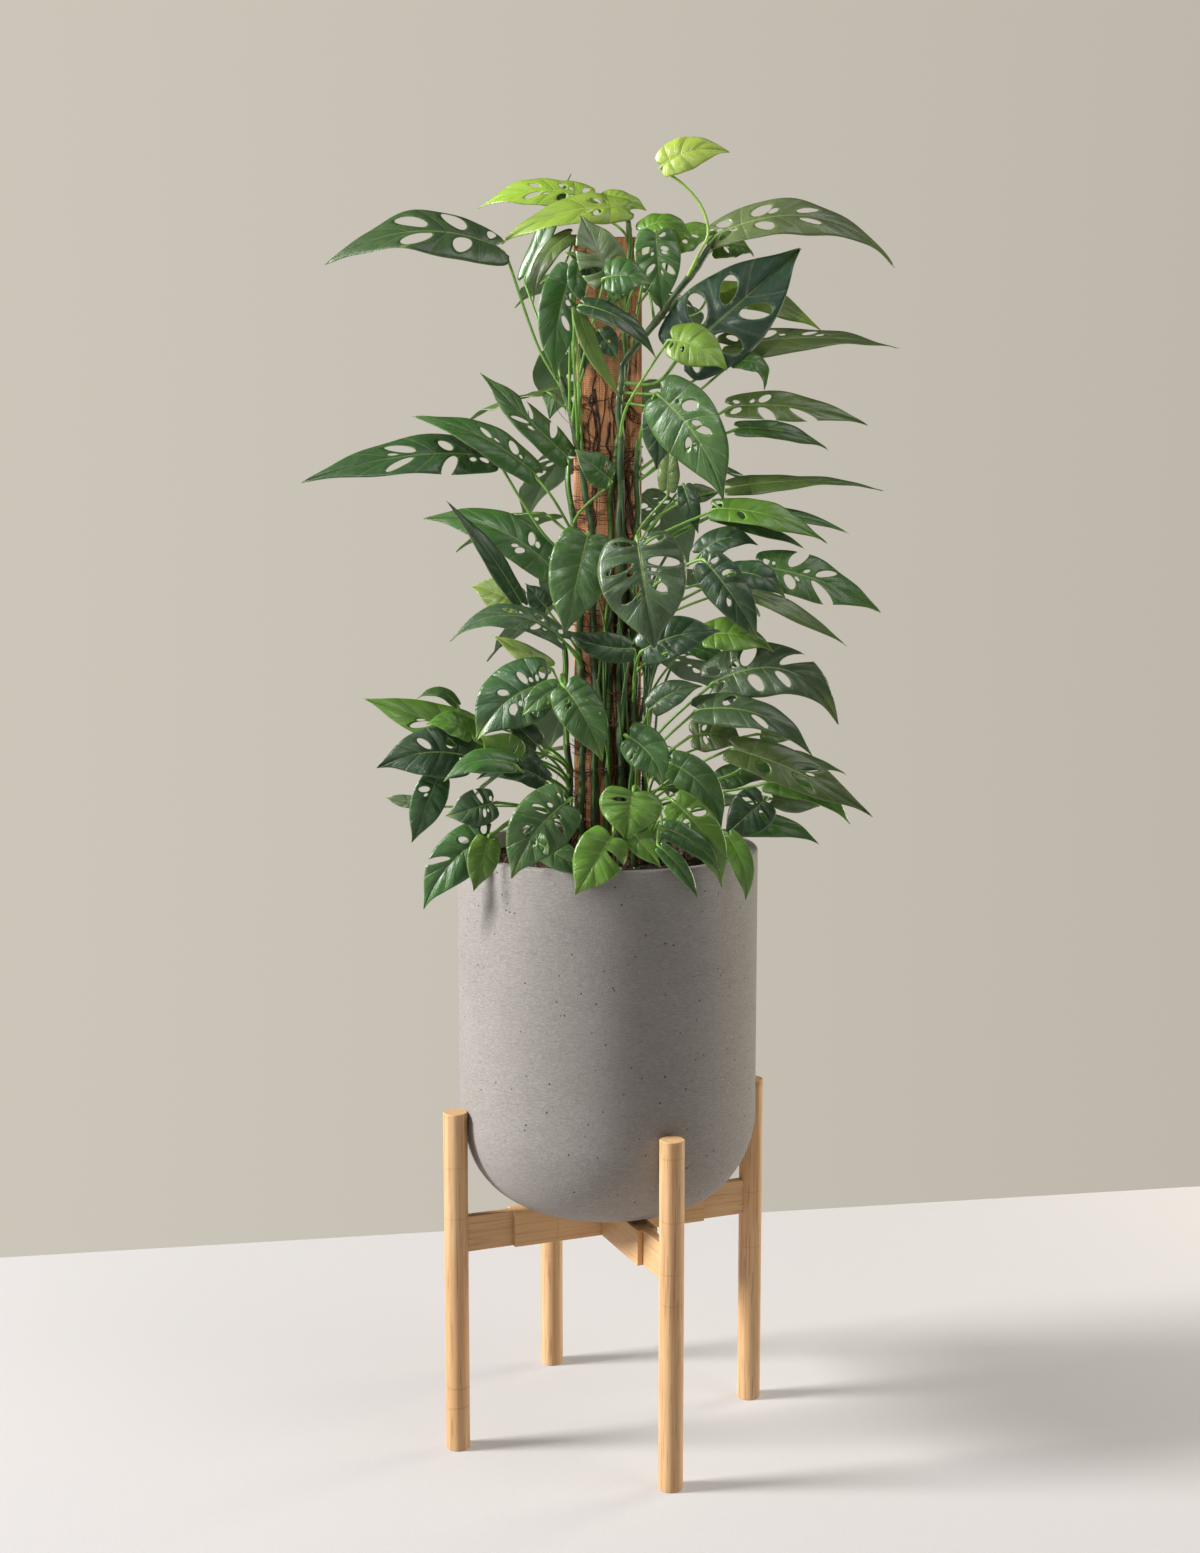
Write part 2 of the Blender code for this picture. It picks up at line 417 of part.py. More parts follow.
def make_plate(name, side, from_top, arm):
    """A sleeve's plate, with the two notches that let it cross the other sleeve."""
    inner, outer = BAR_THICK / 2 + GAP, BAR_THICK / 2 + GAP + PLATE_THICK
    end, high = PLATE_LENGTH / 2, BAR_HEIGHT / 2
    near, far = sorted((side * inner, side * outer))
    plate = box(name, (-end, near, -high), (end, far, high))
    low, top = (-GAP / 2, high * 2) if from_top else (-high * 2, GAP / 2)
    notches = [box("notch", (min(a, b), -outer * 2, low), (max(a, b), outer * 2, top))
               for a, b in ((inner - GAP, outer + GAP), (-inner + GAP, -outer - GAP))]
    plate = combine(plate, notches, "DIFFERENCE")
    plate.parent = arm
    return paint(plate, "bamboo", BAMBOO, 0.5)


def make_leg(name, arm):
    """A round leg on its arm, with the mortise that holds the bar's end."""
    drop = BAR_TOP - BAR_HEIGHT / 2
    leg = rod(name, LEG_RADIUS, -drop, LEG_HEIGHT - drop, LEG_SIDES, LEG_CHAMFER)
    wide, high = BAR_THICK / 2 + GAP, BAR_HEIGHT / 2 + GAP
    pocket = box("pocket", (-2 * LEG_RADIUS, -wide, -high), (MORTISE + GAP - LEG_RADIUS, wide, high))
    leg = combine(leg, [pocket], "DIFFERENCE")
    leg.parent = arm
    leg.location = (LEG_CIRCLE, 0, 0)
    return paint(leg, "bamboo", BAMBOO, 0.5)


def make_bar(name, arm):
    """The flat bar that joins a leg to the sleeves and slides in them."""
    wide, high = BAR_THICK / 2, BAR_HEIGHT / 2
    bar = box(name, (BAR_INNER, -wide, -high), (LEG_CIRCLE - LEG_RADIUS + MORTISE, wide, high))
    bar.parent = arm
    return paint(bar, "bamboo", BAMBOO, 0.5)


def make_stand():
    for label, quarter, from_top in (("across", 0, True), ("along", 1, False)):
        sleeve = arm_empty("sleeve_" + label, STAND_TURN + quarter * math.pi / 2)
        make_plate(f"sleeve_{label}_near", -1, from_top, sleeve)
        make_plate(f"sleeve_{label}_far", 1, from_top, sleeve)
    for k, label in enumerate(("right", "back", "left", "front")):
        arm = arm_empty("arm_" + label, STAND_TURN + k * math.pi / 2)
        make_leg("leg_" + label, arm)
        make_bar("bar_" + label, arm)


# Leaves

def seen(side, height, depth):
    """The point depth mm in front of the board's middle that is seen from EYE at side and height (mm)."""
    flat = Vector((side * MM, 0, height * MM))
    return flat + (EYE - flat) * (depth * MM / -EYE.y)


def blade_surface(leaf, looks_up):
    """A function that gives the point of the blade at s along its midrib and v across it, -1 to 1."""
    base, tip = seen(*leaf.base), seen(*leaf.tip)
    chord = tip - base
    length = chord.length
    look = Vector((0, 0, 1)) if looks_up else EYE - base
    face = (look - chord * look.dot(chord) / length**2).normalized()
    across = chord.cross(face).normalized()
    half = leaf.wide * MM / 2 / math.cos(math.radians(leaf.roll))

    def point(s, v):
        slope = 4 * (1 - 2 * min(max(s, 0), 1)) * length
        ahead = (chord + across * leaf.bow * slope + face * ARCH * slope).normalized()
        front = (face - ahead * face.dot(ahead)).normalized()
        side = ahead.cross(front)
        turn = math.radians(leaf.roll + leaf.twist * s)
        out = side * math.cos(turn) + front * math.sin(turn)
        up = front * math.cos(turn) - side * math.sin(turn)
        bulge = 4 * s * (1 - s) * length
        middle = base + chord * s + (across * leaf.bow + face * ARCH) * bulge
        return middle + out * (v * half) + up * half * (FOLD * abs(v) - DROOP * v * v)

    return point


def mixed(corners, p, r):
    """The place at p between two side veins and r from the midrib to the margin."""
    (a, b, c, d) = corners
    return tuple((1 - p) * (1 - r) * a[i] + p * (1 - r) * b[i] + p * r * c[i] + (1 - p) * r * d[i] for i in (0, 1))


def cell_faces(corners, kind):
    """The flat triangles of one cell between two side veins, whole, holed or slit, in (s, v)."""
    a, b, c, d = corners
    if kind == "o":
        e, f, g, h = [mixed(corners, p, r) for p, r in HOLE]
        return [(a, b, e), (b, f, e), (b, c, f), (c, g, f), (c, d, g), (d, h, g), (d, a, h), (a, e, h)]
    if kind == "s":
        e, f, g, h = [mixed(corners, p, r) for p, r in SLIT]
        return [(a, b, f), (a, f, e), (b, c, g), (b, g, f), (d, a, e), (d, e, h)]
    if c == d or b == c:
        return [(a, b, d)]
    return [(a, b, c), (a, c, d)]


def blade_plan(holes, neck):
    """All flat triangles of a blade in (s, v), both halves. Its base is a short edge as wide as the stalk."""
    veins, rim = (VEINS, RIM) if holes else (PLAIN_VEINS, PLAIN_RIM)
    halves = holes.split(":") if holes else ("...", "...")
    plan = [((0.0, -neck), (veins[1], 0.0), (0.0, neck))]
    for sign, kinds in zip((1, -1), halves):
        kinds = kinds.ljust(len(rim) - 1, ".")
        for i in range(len(rim) - 1):
            corners = ((veins[i], 0.0 if i else sign * neck), (veins[i + 1], 0.0),
                       (rim[i + 1][0], sign * rim[i + 1][1]), (rim[i][0], sign * rim[i][1]))
            cell = cell_faces(corners, kinds[i])
            plan += cell if sign > 0 else [face[::-1] for face in cell]
    return plan


def square_ring(middle, wide, thick):
    """The four corners of a stalk's section, in the order of a blade's base."""
    return [middle - wide + thick, middle + wide + thick, middle + wide - thick, middle - wide - thick]


def leaf_mesh(leaf, stem, looks_up):
    """One closed solid: the blade with its holes and slits, whose base runs on as a square stalk into the stem."""
    radius = (1.2 + 0.008 * leaf.wide) * MM
    true_width = leaf.wide / math.cos(math.radians(leaf.roll))
    holes = leaf.holes if true_width >= HOLED_FROM else ""
    plan = blade_plan(holes, radius / (true_width * MM / 2))
    spots = sorted({spot for face in plan for spot in face})
    index = {spot: i for i, spot in enumerate(spots)}
    surface = blade_surface(leaf, looks_up)
    points = [surface(s, v) for s, v in spots]
    faces = [tuple(index[spot] for spot in face) for face in plan]
    normals = [Vector() for _ in spots]
    for i, j, k in faces:
        lean = (points[j] - points[i]).cross(points[k] - points[i])
        for corner in (i, j, k):
            normals[corner] += lean
    shifts = [normal.normalized() * BLADE / 2 for normal in normals]
    n = len(points)
    verts = [p + q for p, q in zip(points, shifts)] + [p - q for p, q in zip(points, shifts)]
    solid = faces + [(k + n, j + n, i + n) for i, j, k in faces]

    left, right = faces[0][0], faces[0][2]
    edges = {(face[i - 1], face[i]) for face in faces for i in range(3)}
    for a, b in sorted(edges):
        if (b, a) not in edges and (a, b) != (right, left):
            solid += [(b, a, a + n), (b, a + n, b + n)]

    ring = [left, right, right + n, left + n]
    wide, thick = points[right] - points[left], shifts[left] + shifts[right]
    ahead = surface(0.1, 0.0) - surface(0.0, 0.0)
    path = stalk_points(leaf, stem, ahead.normalized(), thick.normalized())
    hand = 1 if wide.cross(ahead).dot(thick) > 0 else -1
    for i in range(len(path) - 1):
        back = (path[i + 1] - path[i]).normalized()
        if i + 2 < len(path):
            back = (back + (path[i + 2] - path[i + 1]).normalized()).normalized()
        wide = (wide - back * wide.dot(back)).normalized()
        thick = back.cross(wide) * hand
        size = radius * (0.85 + 0.15 * (i + 1) / (len(path) - 1))
        fresh = list(range(len(verts), len(verts) + 4))
        verts += square_ring(path[i + 1], wide * size, thick * size)
        for k in range(4):
            m = (k + 1) % 4
            solid += [(ring[k], ring[m], fresh[m]), (ring[k], fresh[m], fresh[k])]
        ring = fresh
    solid += [(ring[0], ring[1], ring[2]), (ring[0], ring[2], ring[3])]
    return verts, solid


def height_on(points, height):
    """The point of a stem at this height (mm)."""
    for low, high in zip(points, points[1:]):
        if height <= high[1] or high is points[-1]:
            share = min((height - low[1]) / (high[1] - low[1]), 1.0)
            return seen(*(a + (b - a) * share for a, b in zip(low, high)))


def stalk_points(leaf, stem, ahead, front):
    """The path of a leaf stalk from the blade's base to inside the stem."""
    start, end = height_on(stem, leaf.start), seen(*leaf.base)
    fold = max(ahead.dot((start - end).normalized()), 0)  # how far the stalk comes from the blade's own side
    knuckle = end - (ahead + front * (0.4 + 1.1 * fold)) * KNUCKLE
    if leaf.via:
        return [end, knuckle] + [seen(*spot) for spot in leaf.via[::-1]] + [start]
    reach = (knuckle - start).length
    push = min(0.30 * reach, abs(end.y - start.y) * 0.6 * fold + 0.30 * reach * (1 - fold))
    first = start + Vector((0, -push if end.y < start.y else push, 0.25 * reach))
    last = knuckle - (ahead * 0.10 + front * (0.12 + 0.35 * fold)) * reach
    middle = (knuckle + last * 3 + first * 3 + start) / 8
    return [end, knuckle, middle, start]


def make_vine(name, points, radius, colour):
    """A stem with all of its leaves, fused into one body."""
    path = [seen(*point) for point in points]
    radii = [radius * MM] * (len(path) - 1) + [radius * MM * 0.75]
    verts, faces = tube(path, radii, STEM_SIDES)
    stem = from_lists(name, verts, faces)
    pieces = []
    for rows, looks_up in ((LEAVES, False), (BACK_LEAVES, True)):
        for i, leaf in enumerate(rows):
            if leaf.vine == name:
                pieces.append(from_lists(f"{name}_{i}", *leaf_mesh(leaf, points, looks_up)))
    return paint(combine(stem, pieces, "UNION"), name + "_leaf", colour, 0.45)


def main():
    clear_scene()
    make_pot()
    make_soil()
    make_board()
    make_stand()
    for name, (points, radius, colour) in VINES.items():
        make_vine(name, points, radius, colour)


main()
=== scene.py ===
# %% [markdown]
# # A swiss-cheese vine on a cedar board, in a pot on a sliding wooden stand
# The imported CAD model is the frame: it fixes every size. This lesson dresses it. The blocky leaves give way to
# thin quilted blades with smooth holes, the plain board to rough cedar, and each surface gets its finish.
# Units are metres, +Z is up and the front faces -Y.

# %% Load the frame
import math
import random
from collections import namedtuple

import bmesh
import bpy
import numpy as np
from mathutils import Matrix, Vector, noise
from mathutils.geometry import delaunay_2d_cdt


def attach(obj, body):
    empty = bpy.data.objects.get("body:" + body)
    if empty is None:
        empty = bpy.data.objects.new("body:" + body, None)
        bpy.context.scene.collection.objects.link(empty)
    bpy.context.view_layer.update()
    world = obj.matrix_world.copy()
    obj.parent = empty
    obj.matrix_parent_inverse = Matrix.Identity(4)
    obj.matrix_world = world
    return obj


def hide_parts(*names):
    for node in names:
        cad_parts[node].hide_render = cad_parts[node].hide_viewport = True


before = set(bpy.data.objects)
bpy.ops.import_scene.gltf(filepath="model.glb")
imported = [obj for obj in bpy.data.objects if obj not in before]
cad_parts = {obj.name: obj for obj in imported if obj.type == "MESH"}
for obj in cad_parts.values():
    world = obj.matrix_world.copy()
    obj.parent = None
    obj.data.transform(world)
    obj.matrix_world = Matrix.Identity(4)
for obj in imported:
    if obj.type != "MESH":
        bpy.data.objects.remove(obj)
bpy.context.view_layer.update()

MM = 0.001
# About a full turn in radians, from which random phases are drawn.
FULL_TURN = 6.3
ROOT = "plant_and_sleeves"

# %% [markdown]
# ## Camera
# The photograph was taken from chest height, a little above the middle of the plant, with a slight look down.
# The lens follows from the round rim of the pot and the four feet of the stand. A camera is an object like any
# other: some data with a name, linked to the scene's collection. One helper makes all of them.

# %% The camera
CAMERA_PLACE = (0.0, -2.228, 1.0151)
LOOK_DOWN, LOOK_LEFT = math.radians(7.735), math.radians(0.205)


def placed(name, data):
    """A new object in the scene that shows this mesh, lamp or camera."""
    obj = bpy.data.objects.new(name, data)
    bpy.context.scene.collection.objects.link(obj)
    return obj


camera_data = bpy.data.cameras.new("camera")
camera_data.sensor_width = 36.0
camera_data.lens = 49.57
camera = placed("camera", camera_data)
camera.location = CAMERA_PLACE
camera.rotation_euler = (math.pi / 2 - LOOK_DOWN, 0.0, LOOK_LEFT)
bpy.context.scene.camera = camera
print("camera at", CAMERA_PLACE)

# %% [markdown]
# ## Shader maths
# A material is a small network. `Wire` stands for one output socket of it, so a sum or a product of wires adds
# its Math nodes by itself. `Finish` holds the material, and its `add` makes every other kind of node. Its `coats`
# lays one colour over another, as paint is glazed.

# %% Wires and finishes
def colour(code):
    """A linear colour from a code such as "#7f9a7f", as a paint chart gives it."""
    parts = [int(code[i:i + 2], 16) / 255 for i in (1, 3, 5)]
    return tuple(c / 12.92 if c <= 0.04045 else ((c + 0.055) / 1.055) ** 2.4 for c in parts)


class Wire:
    """One output socket. Arithmetic on wires adds Math nodes to the material."""

    def __init__(self, finish, socket):
        self.finish, self.socket = finish, socket

    def maths(self, operation, *terms):
        return self.finish.add("ShaderNodeMath", {"operation": operation}, dict(enumerate(terms)))

    def __add__(self, other): return self.maths("ADD", self, other)
    def __radd__(self, other): return self.maths("ADD", other, self)
    def __sub__(self, other): return self.maths("SUBTRACT", self, other)
    def __rsub__(self, other): return self.maths("SUBTRACT", other, self)
    def __mul__(self, other): return self.maths("MULTIPLY", self, other)
    def __rmul__(self, other): return self.maths("MULTIPLY", other, self)
    def __abs__(self): return self.maths("ABSOLUTE", self)

    def sin(self): return self.maths("SINE", self)
    def fraction(self): return self.maths("FRACT", self)

    def between(self, low, high, to_low=0.0, to_high=1.0):
        """A smooth step: to_low where the wire is under low, to_high where it is over high."""
        return self.finish.add("ShaderNodeMapRange", {"interpolation_type": "SMOOTHSTEP"}, {
            "Value": self, "From Min": low, "From Max": high, "To Min": to_low, "To Max": to_high})

    def within(self, low, high):
        """The other way round: 1 where the wire is under low, 0 where it is over high."""
        return self.between(low, high, 1.0, 0.0)


class Finish:
    """A material with one Principled shader, built node by node. A colour is given by its code."""

    def __init__(self, name, base, roughness, **settings):
        self.material = bpy.data.materials.new(name)
        self.material.use_nodes = True
        self.material.diffuse_color = (*colour(base), 1.0)
        self.tree = self.material.node_tree
        self.shader = self.tree.nodes["Principled BSDF"]
        self.paint(Base_Color=base, Roughness=roughness, **settings)

    def feed(self, socket, value):
        """Links a wire to a socket, or sets a number, a vector or a colour on it."""
        if isinstance(value, Wire):
            self.tree.links.new(value.socket, socket)
        else:
            socket.default_value = (*colour(value), 1.0) if isinstance(value, str) else value

    def add(self, kind, settings=None, sockets=None, output=0):
        """Adds a node: its settings first, then a value or a wire for each socket, by name or by number."""
        node = self.tree.nodes.new(kind)
        for name, value in (settings or {}).items():
            setattr(node, name, value)
        for name, value in (sockets or {}).items():
            if isinstance(name, int):
                socket = node.inputs[name]
            else:
                socket = next(s for s in node.inputs if s.name == name and s.enabled)
            self.feed(socket, value)
        shown = [s for s in node.outputs if s.enabled]
        return Wire(self, shown[output] if isinstance(output, int) else node.outputs[output])

    def mix(self, share, a, b):
        return self.add("ShaderNodeMix", {"data_type": "RGBA"}, {"Factor": share, "A": a, "B": b})

    def coats(self, body, *coats):
        """The body colour under coats of (share, colour), one over the other."""
        for share, tint in coats:
            body = self.mix(share, body, tint)
        return body

    def attribute(self, name, output="Fac"):
        return self.add("ShaderNodeAttribute", {"attribute_name": name}, output=output)

    def position(self):
        return self.add("ShaderNodeTexCoord", output="Object")

    def stretched(self, place, scale):
        return self.add("ShaderNodeVectorMath", {"operation": "MULTIPLY"}, {0: place, 1: scale})

    def parts(self, place):
        node = self.tree.nodes.new("ShaderNodeSeparateXYZ")
        self.feed(node.inputs[0], place)
        return [Wire(self, socket) for socket in node.outputs]

    def grain(self, place, scale, detail=2.0, rough=0.5, twist=0.0):
        """Perlin noise, 0 to 1, with its middle near 0.5."""
        return self.add("ShaderNodeTexNoise", None, {
            "Vector": place, "Scale": scale, "Detail": detail, "Roughness": rough, "Distortion": twist})

    def cells(self, place, scale, feature="F1"):
        return self.add("ShaderNodeTexVoronoi", {"feature": feature}, {"Vector": place, "Scale": scale},
                        output="Distance")

    def relief(self, height, strength, distance):
        """A bump from a height wire. The distance is the real height in metres."""
        self.paint(Normal=self.add("ShaderNodeBump", None, {
            "Strength": strength, "Distance": distance, "Height": height}))

    def paint(self, **sockets):
        """Feeds the shader's own sockets."""
        for name, value in sockets.items():
            self.feed(self.shader.inputs[name.replace("_", " ")], value)


print("shader helpers ready")

# %% [markdown]
# ## Meshes with attributes
# A blade, a stem or a plate of wood carries its own coordinates, such as the place between two side veins. They
# are stored as named attributes on the points of the mesh, and the material reads them by name. A mesh can come
# from lists of points and faces, or from a bmesh, which has tools to spin, bevel and clean it.

# %% Mesh objects
def store(mesh, **attributes):
    """Stores values on the points of a mesh: 1 column is a number, 3 are a vector and 4 a colour."""
    for label, values in attributes.items():
        values = np.asarray(values, np.float32)
        columns = 1 if values.ndim == 1 else values.shape[1]
        kind, field = {1: ("FLOAT", "value"), 3: ("FLOAT_VECTOR", "vector"), 4: ("FLOAT_COLOR", "color")}[columns]
        mesh.attributes.new(label, kind, "POINT").data.foreach_set(field, values.ravel())


def smooth(mesh):
    mesh.polygons.foreach_set("use_smooth", [True] * len(mesh.polygons))


def mesh_object(name, points, faces, edges=(), **attributes):
    """A new smooth object from its points and faces, or from points and edges."""
    mesh = bpy.data.meshes.new(name)
    mesh.from_pydata([tuple(p) for p in np.asarray(points, float)], edges, [tuple(map(int, f)) for f in faces])
    smooth(mesh)
    store(mesh, **attributes)
    mesh.update()
    return placed(name, mesh)


def solid_object(name, work):
    """A new object from a bmesh, with its faces turned outwards."""
    bmesh.ops.recalc_face_normals(work, faces=work.faces)
    mesh = bpy.data.meshes.new(name)
    work.to_mesh(mesh)
    work.free()
    return placed(name, mesh)


def joined(parts):
    """Several (points, faces, {attribute: values}) as one."""
    points, faces, columns, start = [], [], {}, 0
    for more_points, more_faces, values in parts:
        points.append(more_points)
        faces += [tuple(i + start for i in face) for face in more_faces]
        for label, value in values.items():
            columns.setdefault(label, []).append(value)
        start += len(more_points)
    return np.concatenate(points), faces, {label: np.concatenate(value) for label, value in columns.items()}


def dress(obj, finish, body, slot, *nodes):
    """Gives a piece its finish, its body and the CAD nodes that it stands for. The slot is not used."""
    if finish:
        obj.data.materials.clear()
        obj.data.materials.append(finish.material)
    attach(obj, body)
    if nodes:
        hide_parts(*nodes)
    return obj


print("mesh helpers ready")

# %% [markdown]
# ## Leaves: where they stand
# The CAD model places each leaf by where its base and its tip are seen from the camera, in millimetres. The same
# rows are used here, with one more word for the colour of the leaf. A leaf is young and lime at the top of a shoot,
# and deep or bluish green where it is old. The word also holds painted light and shade: bright is painted light
# where light falls on a leaf, and deep is partly painted shade.

# %% The rows of leaves
# The eye that the rows are seen from. It is the camera's place to the nearest millimetre.
EYE = np.array((0.0, -2.228, 1.015))
# How far a blade folds up at its midrib and droops at its margins, in half widths, and how far the midrib arches,
# as a share of its length. A knuckle joins the stalk to the blade. A blade narrower than HOLED_FROM mm has no holes.
FOLD, DROOP, ARCH = 0.16, 0.22, 0.07
KNUCKLE = 5.0 * MM
HOLED_FROM = 32.0

# The tones are the leaves' own greens and also painted light and shade: bright is painted light, deep is partly painted
# shade.
TONES = {name: colour(code) for name, code in {
    "deep": "#274627", "mid": "#3e672c", "bright": "#5a8527", "fresh": "#87a83c", "lime": "#9dbd40",
    "pale": "#b2c652", "soft": "#809e4e", "olive": "#566c34", "blue": "#2e4933", "teal": "#396035",
    "slate": "#405b38", "grey": "#687c51"}.items()}

# A vine: the points of its stem as (side, height, depth) in mm, its radius in mm and its tone.
VINES = {
    "vine_low_left": (((-41, 568, 8), (-41, 700, 8), (-43, 800, 10), (-46, 850, 18)), 4.0, "mid"),
    "vine_mid_left": (((-27, 568, 16), (-27, 800, 16), (-31, 940, 17), (-41, 1035, 17)), 4.0, "mid"),
    "vine_top_left": (
        ((-13, 568, 16), (-13, 850, 16), (-18, 980, 17), (-27, 1046, 18), (-49, 1126, 22)), 4.3, "slate"),
    "vine_lime": (
        ((0, 568, 16), (0, 850, 16), (4, 1000, 16), (13, 1090, 16), (19, 1140, 17), (19, 1220, 17), (21, 1282, 16)),
        3.5, "bright"),
    "vine_top_right": (
        ((13, 568, 16), (13, 850, 16), (14, 1000, 22), (11, 1090, 32), (16, 1138, 34), (58, 1194, 34), (104, 1257, 18)),
        4.3, "slate"),
    "vine_mid_right": (((27, 568, 16), (27, 850, 16), (29, 960, 17), (32, 1062, 19)), 4.0, "mid"),
    "vine_low_right": (((41, 568, 8), (41, 700, 8), (43, 800, 12)), 4.0, "mid"),
    "vine_back_left": (((-18, 568, -16), (-18, 900, -16), (-19, 1215, -17)), 3.8, "mid"),
    "vine_back_right": (((18, 568, -16), (18, 900, -16), (17, 1225, -17)), 3.8, "mid"),
}

# A leaf: its vine; its tone; where its base and its tip are seen, in mm as above; its width as seen; its roll
# about the midrib in degrees; the bow of the midrib as a share of the length; its holes from base to tip, on the
# clockwise side and on the other (o a hole, O a large one, s a slit open to the margin); the height at which its
# stalk leaves the stem; the points that the stalk passes; and the twist of the blade from base to tip.
Leaf = namedtuple("Leaf", "vine tone base tip wide roll bow holes start via twist", defaults=((), 0))

